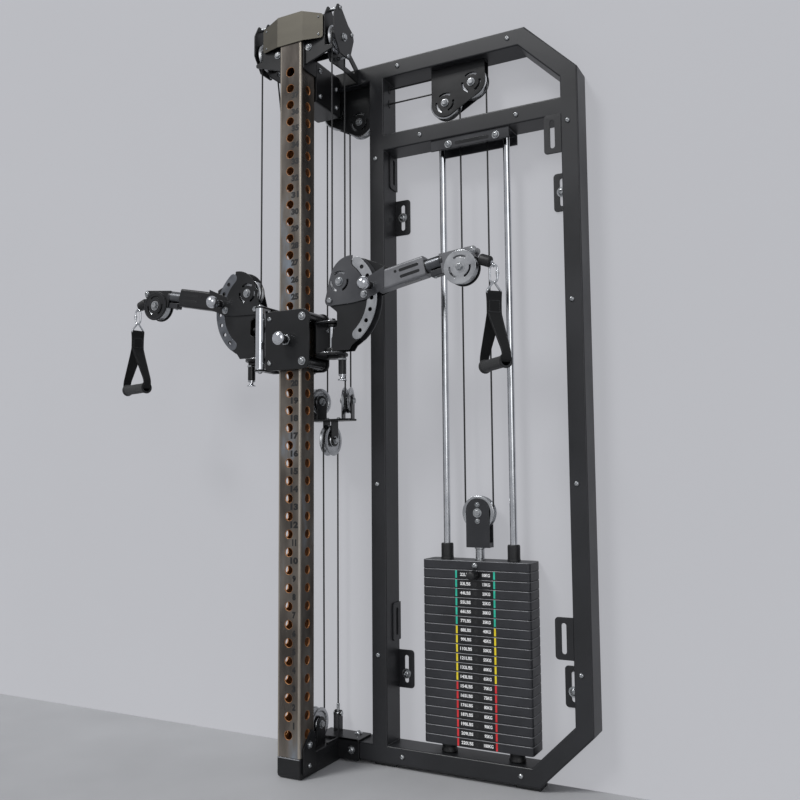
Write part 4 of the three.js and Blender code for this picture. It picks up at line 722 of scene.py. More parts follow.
def head():
    b = Build()
    front, back, base, top = 14.3, FRONT - GAP, 2044.4, 2176.4
    span = front, base, back - front, 2210.4 - base
    crown = [(0, .386), (0, .76), (.104, 1), (.19, .99)]
    inner_cheek = shares(crown + [(.24, .916), (.405, .717), (1, .29), (1, 0), (.55, .036), (.166, .012)], *span)
    outer_cheek = shares(crown + [(.405, .747), (.55, .66), (.57, .54), (.45, .12), (.166, .12)], *span)
    window = shares([(.576, .133), (.887, .133), (.887, .217), (.654, .386), (.576, .386)], *span)
    apart, thick, near = 15, 4, HALF + GAP
    inner, outer = YAW_X - apart, YAW_X + apart
    gusset = [(near, base - 8), (outer - 4, base + 24), (outer - 4, base + 34), (inner + 1, base + 38),
              (inner + 1, top), (near, top)]
    for s in (-1, 1):
        b.turn = mirror(s)
        b.prism("X", fillet(inner_cheek, [6, 6, 8, 8, 10, 14, 4, 4, 4, 6]), inner - thick, inner, BLACK,
                [fillet(window, 5, 4)], bevel=0.9, hole_bevel=0.8)
        b.prism("X", fillet(outer_cheek, [6, 6, 8, 8, 12, 14, 12, 12, 6]), outer, outer + thick, BLACK,
                bevel=0.9)
        b.axle((YAW_X, HEAD_Y, HEAD_Z), X1, apart + thick, apart + 1)
        for y, z in shares([(.166, .95), (.505, .62), (.392, .17)], *span):
            b.rod((inner - 1, y, z), (outer + 1, y, z), 5, "zinc")
            for t in (1, -1):
                b.button((YAW_X + t * (apart + thick), y, z), (t, 0, 0), 6.5)
        b.prism("Y", fillet(gusset, [2, 4, 4, 2, 4, 2]), front, front + 6, BLACK, bevel=1.0)
        b.prism("X", fillet(rectangle(front - 6, DEEP, base - 22, top), [6, 6, 2, 2]), near, near + 5, BLACK, bevel=1.0)
        b.hexagon((near + 17, front, base + 44), OUT, 8, 4, washer=11)
        for y, z in ((96, 1972), (190, 1972), (96, 2052), (190, 2030)):
            b.button((43, y, z), X1, 6.5, washer=8.5)
    b.turn = Matrix.Identity(4)
    # tube from the column to the wall frame, with a plate at both ends
    near, low, high = DEEP + GAP, 1948.4, 2078.4
    b.prism("Y", fillet(rectangle(-43, 43, low, high), 7, 4), near, back, BLACK,
            [fillet(rectangle(-38, 38, low + 5, high - 5), 3, 4)], bevel=0.8, hole_bevel=0.5)
    b.prism("Y", rectangle(-108, 108, base, TOP - 4), back - 6, back, BLACK, bevel=0.8)
    b.prism("Y", fillet(rectangle(-108, 108, base + 30, TOP), [8, 8, 0, 0]), near, near + 6, BLACK, bevel=0.8)
    for x in (-26, 26):
        for y in (back - 40, 100):
            b.button((x, y, high), Z1, 6)
    piece("head_frame_cheeks", b, "frame", "head_frame")


def pulley(node, wrap, centre, direction=Y1):
    """A pulley on the body of its own name; wrap is the radius of its cable."""
    b = Build()
    rim, floor = wrap + RIM, wrap - 2.7
    side = [(6.3, -12), (11.2, -12), (11.8, -11.2), (12.6, -9.6), (15.5, -9.6), (16, -11.2), (17.5, -11.2), (19, -9),
            (rim - 13, -9), (rim - 10.5, -11.2), (rim - 9.5, -12), (rim - 1.4, -12), (rim, -10.6), (rim - 0.3, -9.4),
            (floor + 3.4, -4.0), (floor + 1.1, -2.4), (floor + 0.2, -1.1)]
    profile = side + [(floor, 0)] + [(r, -h) for r, h in reversed(side)]
    mats = ["zinc"] + ["rubber"] * 4 + ["alloy"] * (len(profile) - 10) + ["rubber"] * 4 + ["zinc"]
    b.ring(profile, centre, direction, "alloy", 48, mats)
    piece(f"{node}_turned", b, node, node)


def bracket(node, across):
    """Two plates on the axles of a high and a low pulley."""
    b = Build()
    reach, top = LARGE + RIM - 4, TOP - TUBE - GAP
    left, right = min(across) - reach, max(across) + reach
    places = list(zip(across, (HIGH_Z, LOW_Z)))
    outline = hull(*(circle(x, z, reach, 48) for x, z in places), [(left, top), (right, top)])
    b.pair("Y", outline, MID_Y, CHEEK, CHEEK + 3, BLACK, [hole for x, z in places for hole in arc_slots(x, z, 27)],
           bevel=0.9, hole_bevel=0.5)
    b.box(left, right, MID_Y - CHEEK - 1, MID_Y + CHEEK + 1, top - 5, top, BLACK)
    for x, z in places:
        b.axle((x, MID_Y, z), Y1, CHEEK + 3, 14)
    piece(f"{node}_plates", b, "frame", node)


# ---- stack -------------------------------------------------------------------
def plate(b, low, high, bevel=1.7):
    outline = fillet(rectangle(STACK_X - 159, STACK_X + 159, STACK_FRONT, MID_Y + 41), 9, 6)
    # the upper rounding of each plate takes the lighter edge material as a painted highlight
    b.prism("Z", outline, low, high, "cast_plate", [circle(x, MID_Y, 10.4, 28) for x in ROD_X], bevel=bevel,
            hole_bevel=0.8, steps=3, highlight_mat="plate_edge")


def label(b, number, z):
    """The strip on a plate's front, with its weight on both sides of the pin hole."""
    colour = ("bar_green", "bar_yellow", "bar_red")[min((number - 1) // 6, 2)]
    pounds, kilos = 11 + 11 * number, 5 + 5 * number
    half, tall, bar, face = 59.0, 10.4, 5.3, STACK_FRONT - 0.5
    b.prism("Y", rectangle(STACK_X - half + bar, STACK_X + half - bar, z - tall, z + tall), face, face + 0.8, "strip",
            [circle(STACK_X, z, 5.6, 24)], hole_bevel=0.2)
    for s in (-1, 1):
        b.prism("Y", rectangle(STACK_X + s * half, STACK_X + s * (half - bar), z - tall, z + tall), face, face + 0.8,
                colour)
    # a gloss black disc in the strip's hole: painted shade for the pin hole, which the plate does not have
    b.lathe([(0, 0.2), (5.6, 0.2), (5.6, -0.2), (0, -0.2)], (STACK_X, face + 0.4, z), OUT, "gloss_black", 24)
    b.words(f"{pounds}LBS", STACK_X - half + 30, z, face, 9.0, "print_white", 35 if pounds > 99 else 31)
    b.words(f"{kilos}KG", STACK_X + half - 26, z, face, 9.0, "print_white", 27 if kilos > 99 else 23)


def stack():
    b = Build()
    for i in range(PLATES - 1):
        base = STACK_BASE + i * PLATE
        plate(b, base, base + PLATE - 0.9)
        label(b, PLATES - i, base + PLATE / 2 - 0.4)
    for x in ROD_X:
        b.ring([(10.6, 0), (20, 0), (23, 2), (23, 8), (20.5, 11), (20.5, 17), (23, 20), (23, 28.8), (10.6, 28.8)],
               (x, MID_Y, SEAT), Z1, "rubber", 36)
    piece("weight_plates_lower", b, "frame", "weight_plates_02_to_19")
    b = Build()
    plate(b, STACK_TOP - PLATE, STACK_TOP - 0.7)
    label(b, 1, STACK_TOP - PLATE / 2 - 0.4)
    piece("weight_plate_top", b, "lift", "weight_plate_01")
    b = Build()
    plate(b, STACK_TOP, CAP_TOP, 1.6)
    b.button((STACK_X, STACK_FRONT, STACK_TOP + 12.3), OUT, 8.5)
    for x in ROD_X:
        b.ring([(10.4, 0), (18.5, 0), (18.5, 5), (17.5, 6), (17.5, 42), (16, 45), (10.4, 45)],
               (x, MID_Y, CAP_TOP - 0.2), Z1, "rubber", 36)
    b.lathe([(0, -1), (16, -1), (16, 3), (12.5, 5), (12.5, 30), (15, 32), (15, 36), (0, 36)],
            (STACK_X, MID_Y, CAP_TOP), Z1, "alloy", 32)
    floor, crown = CAP_TOP + 35, LIFT_Z + SMALL + RIM - 35
    side = hull(circle(STACK_X, crown, 35, 48), [(STACK_X - 35, floor), (STACK_X + 35, floor)])
    b.pair("Y", side, MID_Y, CHEEK, CHEEK + 4, "grey_paint", bevel=1.0)
    b.axle((STACK_X, MID_Y, LIFT_Z), Y1, CHEEK + 4, 14, 10, 6, 13)
    for s in (-1, 1):
        for rise in (-23, 23):
            b.button((STACK_X, MID_Y + s * (CHEEK + 4), LIFT_Z + rise), (0, s, 0), 5.5, washer=7)
    b.box(STACK_X - 34, STACK_X + 34, MID_Y - 12.4, MID_Y + 12.4, floor, floor + 14, "grey_paint", bevel=1.0)
    piece("lift_head_cap", b, "lift", "lift_head")
    b = Build()
    z = STACK_TOP - PLATE / 2
    b.rod((STACK_X, STACK_FRONT - 26, z), (STACK_X, STACK_FRONT + 29, z), 4.2, "chrome")
    b.lathe([(0, 0), (7, 0), (11.5, 1.8), (12.7, 5), (12.7, 13), (11.5, 15), (11.5, 16.5), (12.7, 18.5), (12.7, 31),
             (11, 34.5), (6, 36), (0, 36)], (STACK_X, STACK_FRONT - 1, z), OUT, "rubber", 36)
    piece("selector_pin_knob", b, "selector_pin", "selector_pin")


# ---- carriage ----------------------------------------------------------------
def plunger(b, centre, direction, length, collar):
    """Threaded sleeve of a spring pin: black with bright rings at both ends."""
    thread, root = collar - 0.4, collar - 1.6
    b.ring([(5.4, 0), (collar - 1.4, 0), (thread, 1), (thread, length - 5), (root, length - 4), (root, length),
            (5.4, length)], centre, direction, BLACK, 32)
    for h in (0.4, length - 2.4):
        b.ring([(collar - 2, h), (collar, h), (collar, h + 2), (collar - 2, h + 2)], centre, direction, "chrome", 32)


def shaft(b, base, direction, length):
    up = Vector(direction)
    b.rod(Vector(base) - up * length, Vector(base) + up, 4.2, "chrome", 24)


def knob(b, base, direction, length, ball, high):
    """Chrome pull knob, a flattened ball on a collar, with its shaft running back the other way."""
    start = math.radians(-52)
    rise = (high - 3.0) / (1 - math.sin(start))
    spread = [start + (math.pi / 2 - start) * i / 14 for i in range(14)]
    b.lathe([(0, 0), (9.5, 0), (9.5, 2), (8.5, 3)]
            + [(ball * math.cos(a), high - rise + rise * math.sin(a)) for a in spread] + [(0, high)],
            base, direction, "chrome", 40)
    shaft(b, base, direction, length)


def cup(b, base, direction, length):
    """Flared chrome pull of the upright pins."""
    b.lathe([(0, 0), (8.5, 0), (8.5, 2), (6, 3), (6, 7), (8, 9.5), (12.4, 11), (13, 12), (13, 13.4), (12, 14), (0, 14)],
            base, direction, "chrome", 36)
    shaft(b, base, direction, length)


def carriage():
    b = Build()
    c, across, rise = CAR_Z, HALF + GAP + 18, 64.0
    corners = [(i * across, c + j * rise) for i in (-1, 1) for j in (-1, 1)]
    shape = hull(*(circle(x, z, 22, 36) for x, z in corners))
    waist = []
    for u, v in shape:
        limit = 70 + 9 * max(0.0, (abs(v - c) - 38) / 24)
        point = (max(-72, min(limit, u)), v)
        if not waist or (Vector(point) - Vector(waist[-1])).length > 0.2:
            waist.append(point)
    b.prism("Y", waist, -20, -12, BLACK, [circle(0, c, 8.6, 28)], bevel=1.6, steps=3)
    b.prism("Y", shape, 85, 93, BLACK, bevel=1.6, steps=3)
    for x, z in corners:
        b.ring([(7, 0), (17, 0), (18, 1), (18, 10), (17.2, 11), (17.2, 82), (18, 83), (18, 94.5), (17, 95.5),
                (7, 95.5)], (x, -11.5, z), Y1, "gloss_black", 36)
        b.rod((x, -20, z), (x, 93, z), 7.2, "zinc")
        b.button((x, -20, z), OUT, 9 if x > 0 else 7, washer=12 if x > 0 else 0)
        b.hexagon((x, 93, z), Y1, 8, 5, washer=11)
    # side plates, and the lugs that hold both yaw axles
    inner = HALF + 36.6
    outer = inner + 6
    root = [(inner, 18), (inner, YAW_Y + 44)]
    bore = circle(YAW_X, YAW_Y, 8.8, 28)
    stops = [circle(*polar(YAW_X, YAW_Y, 33, -70 * k / 3), 5.2, 16) for k in range(4)]
    for s in (-1, 1):
        b.turn = mirror(s)
        b.prism("X", fillet(rectangle(18, 93, c - 52, c + 52), 6, 4), inner, outer, BLACK, bevel=1.0)
        for z, end, holes in ((c - 50, circle(YAW_X, YAW_Y, 45, 48), [bore] + stops),
                              (c + CAR_HALF, circle(YAW_X, YAW_Y, 24, 40), [bore])):
            # the upper rounding of each lug is painted in alloy, a painted highlight on the black plate
            b.prism("Z", hull(root, end), z, z + 8, BLACK, holes, bevel=1.6, hole_bevel=0.6, steps=1, highlight_mat="alloy")
        for z in (c + 34, c - 34):
            b.button((outer, 78, z), X1, 6)
    b.turn = Matrix.Identity(4)
    # grab tube between two shelves
    low, high, x, y = c - 86, c + 98, -88.5, -20.0
    shelf = [(1 - inner, 18), (1 - inner, 56), (-94, 56), (-94, 4)] + arc(x, y, 15.5, 110, 360)
    for z, end, way in ((low, low - 1, -1), (high, high + 7, 1)):
        # the upper rounding of each shelf is painted lighter grey, a painted highlight
        b.prism("Z", shelf, z, z + 6, BLACK, bevel=1.6, steps=1, highlight_mat="strip_grey")
        b.button((x, y, end), (0, 0, way), 6, washer=10)
    b.prism("X", fillet(rectangle(18, 56, low, high + 6), 3, 3), -outer, -inner, BLACK, bevel=1.0)
    b.rod((x, y, low - 1), (x, y, high + 7), 14, "chrome", 40, 1.5)
    # pop pin's sleeve, and the block that takes the cable
    plunger(b, (0, -19.6, c), OUT, 24.4, 12.5)
    b.ring([(9, 0), (16, 0), (16, 2), (15, 3), (9, 3)], (0, -20, c), OUT, "zinc", 6)
    b.box(-14, 14, 92, 117, low, low + 12, BLACK, bevel=1.2)
    piece("carriage_plates_rollers", b, "carriage", "carriage")
    b = Build()
    knob(b, (0, -44.3, c), OUT, 43.9, 20.0, 22.5)
    piece("carriage_pull_knob", b, "carriage_pop_pin", "carriage_pop_pin")


# ---- arms --------------------------------------------------------------------
# The cable leaves the pivot pulley below, crosses to the end pulley's top and
# leaves that at EXIT; ALONG puts the tube's own axes on this line.
SPAN, DROP = END_X - PIVOT_X, PIVOT_Z - END_Z
SLOPE = math.asin(2 * SMALL / math.hypot(SPAN, DROP)) - math.atan2(DROP, SPAN)
LEAVE_X = PIVOT_X + SMALL * math.sin(SLOPE)
LEAVE_Z = PIVOT_Z - SMALL * math.cos(SLOPE)
ALONG = Matrix.Translation((LEAVE_X, YAW_Y, LEAVE_Z)) @ Matrix.Rotation(-SLOPE, 4, "Y")
TUBE_START = 148 - (LEAVE_X - PITCH_X) + GAP
TUBE_END = TUBE_START + 150
NECK_END = TUBE_END + 44
NEAR, FAR = YAW_Y - 18.5, YAW_Y + 13.5            # fronts of the two quadrant plates
CHEEK_OUT = 22.0                                  # from the arm's middle to its cheeks' outer faces
PIN_ROW = 133.0                                   # radius of the quadrant's pin holes
TIP = 50                                          # degrees from level to both ends of the quadrant
EXIT = math.pi / 2 - math.radians(22)
EXIT_X, EXIT_Z = END_X + SMALL * math.cos(EXIT), END_Z + SMALL * math.sin(EXIT)
YAW_PIN_X = YAW_X + 33


def exit_point(s):
    return Vector((EXIT_X + s * math.sin(EXIT), YAW_Y, EXIT_Z - s * math.cos(EXIT)))


def run_point(s):
    return ALONG @ Vector((s, 0, 0))


def on_quadrant(angle):
    """A point on the quadrant's row of pin holes."""
    return polar(PITCH_X, PITCH_Z, PIN_ROW, angle)


HANG = exit_point(80) + Vector((0, 0, -5.5))
LINK_LOW = HANG.z - 46
STRAP_TOP = LINK_LOW - 27.6
PIN_X, PIN_Z = on_quadrant(12)


def yaw_body(side, word):
    b = Build(mirror(side))
    low, high, under = CAR_Z - CAR_HALF + GAP, CAR_Z + CAR_HALF - GAP, CAR_Z - 50 - GAP
    for z0, z1, radius, mat, sides, chamfer in (
            (low, low + 14, 22, BLACK, 40, 1.5), (low + 13, high - 8, 9.5, "chrome", 32, 1.0),
            (high - 9, high, 15, BLACK, 36, 1.2), (under - 1, CAR_Z + 51, 8, "zinc", 28, 1.0)):
        b.rod((YAW_X, YAW_Y, z0), (YAW_X, YAW_Y, z1), radius, mat, sides, chamfer)
    b.hexagon((YAW_X, YAW_Y, CAR_Z + 50), Z1, 11, 6, washer=14)
    span = PITCH_X, PITCH_Z, 148, 148
    spine = shares([(.277, -.06), (.0946, .0405), (.034, .088), (-.047, .088), (-.0946, .0135), (-.081, -.054),
                    (.142, -.23), (.142, -.5), (.0135, -.581)], *span)
    web = (shares([(.0135, -.973), (.399, -.973)], *span) + arc(PITCH_X, PITCH_Z, 147, -62, -48, 4)
           + arc(PITCH_X, PITCH_Z, 121, -44, -4.5, 12) + fillet(spine, 7, 3))
    rim, half = 148, 15
    strip = (arc(PITCH_X, PITCH_Z, rim, -TIP, TIP, 40) + arc(*on_quadrant(TIP), half, TIP, TIP + 180, 10)[1:-1]
             + arc(PITCH_X, PITCH_Z, rim - 2 * half, TIP, -TIP, 40)
             + arc(*on_quadrant(-TIP), half, 180 - TIP, 360 - TIP, 10)[1:-1])
    holes = [circle(*on_quadrant(40 - 14 * i), 5.5, 24) for i in range(7)]
    # the front strip is alloy on the right and darker grey on the left: painted light and shade on one finish
    for y, mat, drills in ((NEAR, "alloy" if side > 0 else "strip_grey", holes), (FAR, "grey_paint", ())):
        b.prism("Y", web, y + 0.3, y + 4.7, BLACK, bevel=0.8)
        b.prism("Y", strip, y, y + 5, mat, drills, bevel=0.9, hole_bevel=0.6, hole_mat=BLACK)
    b.box(YAW_X + 8, YAW_PIN_X, NEAR + 1, FAR + 4, low + 1, CAR_Z, BLACK, bevel=1.5)
    ear = hull(circle(YAW_X, YAW_Y, 16, 32), circle(YAW_PIN_X, YAW_Y, 10, 24))
    b.prism("Z", ear, under - 8, under, BLACK, [circle(YAW_PIN_X, YAW_Y, 5.4, 20)], bevel=1.0)
    plunger(b, (YAW_PIN_X, YAW_Y, under - 7.6), (0, 0, -1), 48.4, 11.5)
    b.ring([(9, 0), (14, 0), (14, 4), (13, 5), (9, 5)], (YAW_PIN_X, YAW_Y, under - 8), (0, 0, -1), "zinc", 6)
    b.axle((PITCH_X, YAW_Y, PITCH_Z), Y1, CHEEK_OUT, 23, 8.5, 5, 0)
    piece(f"yaw_quadrant_{word}", b, f"arm_yaw_{word}", f"yaw_body_{word}")
    b = Build(mirror(side))
    cup(b, (YAW_PIN_X, YAW_Y, under - 56.3), (0, 0, -1), 53.5)
    piece(f"yaw_pull_knob_{word}", b, f"yaw_pin_{word}", f"yaw_pin_{word}")


def arm(side, word):
    b = Build(mirror(side))
    bolt, disc, length, top = (PITCH_X + 111, PITCH_Z + 7), (PITCH_X + 68, PITCH_Z + 54), 173, PITCH_Z + 82
    body = hull(circle(PITCH_X, PITCH_Z, 16, 32), circle(*bolt, 16, 32), circle(*disc, 68, 72),
                [(PITCH_X + length, PITCH_Z + 16), (PITCH_X + length, top), (disc[0], top)])
    # The front cheek is cut back to an arc, so that the quadrant shows above it.
    cut, low_ray, high_ray = 117.0, 24, 57.5

    def covered(p):
        x, z = p[0] - PITCH_X, p[1] - PITCH_Z
        return math.hypot(x, z) > cut and low_ray < math.degrees(math.atan2(z, x)) < high_ray

    first = next(i for i in range(len(body)) if covered(body[i - 1]) and not covered(body[i]))
    front = ([p for p in body[first:] + body[:first] if not covered(p)]
             + [(PITCH_X + length, PITCH_Z + length * math.tan(math.radians(low_ray)))]
             + arc(PITCH_X, PITCH_Z, cut, low_ray, TIP, 18) + arc(*on_quadrant(TIP), 16, TIP + 180, TIP + 85, 8)[1:])
    face, back = YAW_Y - CHEEK_OUT, YAW_Y + CHEEK_OUT
    # the right arm's front cheek is painted lighter grey than the left's black: painted light on one finish
    b.prism("Y", front, face, face + 3, "cheek_grey" if side > 0 else BLACK,
            arc_slots(PIVOT_X, PIVOT_Z, 27) + [circle(PIN_X, PIN_Z, 5.6, 20)], bevel=0.8, hole_bevel=0.5)
    b.prism("Y", body, back - 3, back, BLACK, bevel=0.8)
    b.axle((PIVOT_X, YAW_Y, PIVOT_Z), Y1, CHEEK_OUT, CHEEK_OUT - 1, 10, 5.5, 13)
    b.axle((bolt[0], YAW_Y, bolt[1]), Y1, CHEEK_OUT, 0, 8, 5.5, 11)
    plunger(b, (PIN_X, face + 0.4, PIN_Z), OUT, 24.4, 12.0)
    # square tube with its end plate, trim and neck
    b.turn = mirror(side) @ ALONG
    # the right arm's tube is painted grey, the left's black: painted light on one finish
    end, skin = TUBE_END, "arm_grey" if side > 0 else BLACK
    b.prism("X", fillet(rectangle(-20, 20, -28, 28), 7, 5), TUBE_START, end - 1, skin,
            [fillet(rectangle(-17, 17, -25, 25), 4, 5)], bevel=0.6, hole_bevel=0.4)
    b.prism("X", fillet(rectangle(-19.6, 19.6, -27.6, 27.6), 7, 5), end - 4, end, skin, [circle(0, 0, 17.9, 40)],
            bevel=1.2)
    # gloss black patches: painted shade for slots and a hole in the tube, which are not cut
    for z in (9, -9):
        for y in (-20.4, 19.4):
            b.prism("Y", slot(end - 45, z, 26, 4.2), y, y + 1, "gloss_black", bevel=0.3)
    b.lathe([(0, 0), (4, 0), (4, 0.6), (0, 0.6)], (end - 86, -20, 10), OUT, "gloss_black", 20)
    b.prism("Z", fillet(rectangle(end - 70, end - 24, -9, 9), 3), -28.5, -27.7, "gloss_black", bevel=0.3)
    b.pipe((end - 4, 0, 0), (NECK_END, 0, 0), 18, 12, "dark_steel", 44, 1.0)
    b.ring([(18, 0), (19.4, 0), (19.4, 3), (18, 3)], (end - 0.5, 0, 0), X1, "rubber", 44)
    piece(f"arm_tube_{word}", b, f"arm_{word}", f"arm_{word}")
    b = Build(mirror(side))
    knob(b, (PIN_X, face - 24.3, PIN_Z), OUT, 24.8, 18.5, 32.0)
    piece(f"pitch_pull_knob_{word}", b, f"pitch_pin_{word}", f"pitch_pin_{word}")


def arm_head(side, word):
    b = Build(mirror(side) @ ALONG)
    start = NECK_END + GAP
    b.pipe((start, 0, 0), (start + 8, 0, 0), 18, 8.5, "grey_paint", 40, 1.0)
    b.pipe((start - 30, 0, 0), (start + 1, 0, 0), 11.1, 8.5, "dark_steel", 32, 0.5)
    b.box(start - 34, start + 8, -12, 12, -36, -19, "grey_paint", bevel=1.6, axis="Y", corner=3)
    b.box(start + 1, start + 8, -12, 12, -36, -17, "grey_paint", bevel=1.0)
    b.button((start - 24, 0, -36), (0, 0, -1), 5)
    for s in (-1, 1):
        b.box(start + 1, start + 8, s * 9.5, s * 13.2, -18, 18, BLACK, bevel=0.8)
    b.turn = mirror(side)
    root = [tuple((ALONG @ Vector((s, 0, n))).xz) for s, n in ((start + 1, 18), (start + 1, -36), (start + 8, -36))]
    guard = (END_X + 35.5, END_Z + 42)
    outline = hull(root, circle(*guard, 11, 28), circle(END_X, END_Z, 16, 28))
    # the right head's plates are painted grey, the left's black: painted light on one finish
    b.pair("Y", outline, YAW_Y, CHEEK, CHEEK + 3, "arm_grey" if side > 0 else BLACK, bevel=0.7)
    for s in (-1, 1):
        # only the right front disc is painted alloy, the rest black: a painted reflection
        bright = side > 0 and s < 0
        b.prism("Y", circle(END_X, END_Z, 46, 72), YAW_Y + s * (CHEEK + 2), YAW_Y + s * (CHEEK + 6),
                "alloy" if bright else BLACK, arc_slots(END_X, END_Z, 29, 5.5, 70) if s < 0 else (),
                bevel=1.2, hole_bevel=0.5)
        b.button((guard[0], YAW_Y + s * (CHEEK + 3), guard[1]), (0, s, 0), 7.5, washer=9.5)
    hub = (END_X, YAW_Y - CHEEK - 6, END_Z)
    # the right hub is painted alloy; on the left, thin grey rings at the rim and hub are painted highlights
    if side > 0:
        b.lathe([(0, 0), (15, 0), (15.5, 0.8), (0, 0.8)], hub, OUT, "alloy", 40)
    else:
        for r in (41, 21):
            b.ring([(r - 1.2, 0), (r - 1.2, 0.9), (r + 1.2, 0.9), (r + 1.2, 0)], hub, OUT, "grey_paint", 64)
        b.ring([(13, 0), (15, 0), (15, 1.5), (13, 1.5)], hub, OUT, "alloy", 40)
    b.axle((END_X, YAW_Y, END_Z), Y1, CHEEK + 6, 13)
    b.rod((guard[0], YAW_Y - 13, guard[1]), (guard[0], YAW_Y + 13, guard[1]), 5, "zinc")
    piece(f"arm_end_guard_{word}", b, f"arm_head_{word}", f"arm_head_{word}")


# ---- handles -----------------------------------------------------------------
def strap_half(z):
    """Half the strap's width at a height below its fold."""
    return 20.5 - 7.5 * min(max((-z - 56) / 106, 0.0), 1.0)


def snap_link(b, turned):
    """A closed wire loop with its gate, and the ring that carries the strap."""
    wire, half = 2.9, 10.5
    top, bottom = HANG.z - half, LINK_LOW + half
    loop = arc(HANG.x, top, half, 0, 180, 12) + arc(HANG.x, bottom, -half, 0, 180, 12)
    b.tube([(x, HANG.y, z) for x, z in loop], wire, "chrome", 14, closed=True)
    gate = HANG.x + half
    b.rod((gate, HANG.y, bottom + 4), (gate, HANG.y, top - 6), 4.0, "chrome", 20, 1.0)
    b.ring([(2.8, 0), (4.8, 0.5), (4.8, 5), (2.8, 5.5)], (gate, HANG.y, (top + bottom) / 2 - 2), Z1, "alloy", 20)
    b.turn = b.turn @ Matrix.Translation((HANG.x, HANG.y, LINK_LOW)) @ turned
    foot, wide = -27.6, 23.6
    b.tube([(0, u, v) for u, v in fillet([(0, wire), (-wide, foot), (wide, foot)], [3.2, 4, 4], 6)],
           wire, "chrome", 14, closed=True)


def strap(b):
    """Both legs of the webbing, from the fold in the ring to the grip's ends, with their stitches."""
    thick = 2.6
    path = arc(0, 0, 4.7, 90, 0, 6)
    path += [(3.2, -9), (2.4, -16), (1.7, -26), (1.7, -36), (1.7, -46), (2.2, -54), (7.5, -64), (16, -79), (27, -97),
             (38, -115), (49, -133), (58, -147.5), (63.2, -157), (65.4, -164), (65.9, -172), (65.9, -180),
             (64.6, -184.6), (61, -186.4), (52, -186.6)]

    def stitch(start, end):
        b.rod(start, end, 0.45, "stitch", 6, 0.1)

    for s in (-1, 1):
        points = [Vector((s * x, 0, z)) for x, z in path]
        verts, rings = [], []
        for i, p in enumerate(points):
            t = (points[min(i + 1, len(points) - 1)] - points[max(i - 1, 0)]).normalized()
            n = Vector((t.z, 0, -t.x)) if i else Vector((0, 0, s))
            rings.append([len(verts) + k for k in range(8)])
            for w, d in ((-1, -0.5), (-1, 0.5), (-0.94, 1), (0.94, 1), (1, 0.5), (1, -0.5), (0.94, -1), (-0.94, -1)):
                verts.append(p + Vector((0, strap_half(p.z) * w, 0)) + n * (thick / 2 * d))
        b.add(verts, [(quads(rings) + [rings[0], rings[-1]], "webbing")])
        for row in (-0.82, 0.82):
            for start, end in list(zip(points, points[1:]))[9:-3]:
                t = (end - start).normalized()
                n = Vector((t.z, 0, -t.x)) * (-1 if t.x > 0 else 1)
                for k in range(max(1, int((end - start).length // 5))):
                    p = start + t * (k * 5 + 1.0)
                    p += Vector((0, strap_half(p.z) * row, 0)) + n * (thick / 2)
                    stitch(p, p + t * 3)
        # boxed joint where the two legs part
        for z in (-20, -50):
            for k in range(-5, 6):
                stitch((s * 3.2, k * 2.7 - 1, z), (s * 3.2, k * 2.7 + 1, z))
        for y in (-14, 14):
            for k in range(6):
                stitch((s * 3.1, y, -22 - k * 4.8), (s * 3.1, y, -25 - k * 4.8))


def grip(b):
    half, bore, rim = 63.7, 12.5, 15.5
    outer = [(bore + 0.9, -half), (bore + 2.2, -half), (rim + 2.6, -half + 0.5), (rim + 3.5, -half + 2.2),
             (rim + 3.2, -half + 4.2), (rim + 1.6, -half + 7), (rim + 0.3, -half + 9.5), (rim, -half + 12),
             (rim - 0.1, -30), (rim + 0.1, 0)]
    profile = outer + [(r, -h) for r, h in reversed(outer[:-1])] + [(bore, half - 0.6), (bore, -half + 0.6)]
    mats = ["grey_paint"] + ["foam"] * (len(profile) - 5) + ["grey_paint"] * 2 + ["rubber"] + ["grey_paint"]
    b.ring(profile, (0, 0, -184.0), X1, "foam", 48, mats)


def handle(side, word):
    turned = Matrix.Rotation(math.radians(-44 if side > 0 else 18), 4, "Z")
    b = Build(mirror(side))
    snap_link(b, turned)
    piece(f"snap_link_and_ring_{word}", b, f"handle_link_{word}", f"handle_link_{word}")
    place = mirror(side) @ Matrix.Translation((HANG.x, HANG.y, STRAP_TOP)) @ turned
    b = Build(place)
    strap(b)
    piece(f"webbing_strap_{word}", b, f"handle_strap_{word}", f"handle_strap_{word}")
    b = Build(place)
    grip(b)
    foam = piece(f"foam_grip_{word}", b, f"handle_grip_{word}", f"handle_grip_{word}")


# ---- floating block ----------------------------------------------------------
def block():
    b = Build()
    floor = DROP_Z + 58

    def yoke(y, z, low):
        """Two cheeks on a pulley's axle, standing on the plate or hanging from it."""
        outline = hull(circle(y, z, 19, 36), [(y - 19, low), (y + 19, low)])
        b.pair("X", outline, 0, CHEEK, CHEEK + 4, BLACK, bevel=1.0)
        b.axle((0, y, z), X1, CHEEK + 4, 13, 9, 5.5)

    b.box(-59.5, 83.5, 197, 245, floor, floor + 6, BLACK, bevel=1.2, corner=8)
    for s, x in TWIN_X.items():
        b.turn = Matrix.Translation((x, TWIN_Y, 0)) @ Matrix.Rotation(s * TWIN_TURN, 4, "Z")
        yoke(0, TWIN_Z, floor + 5)
    b.turn = Matrix.Identity(4)
    yoke(DROP_Y, DROP_Z, floor + 1)
    for x in (35, -5):
        b.button((x, 215, floor + 6), Z1, 6, washer=8)
    piece("floating_block_plates", b, "block", "block_frame")


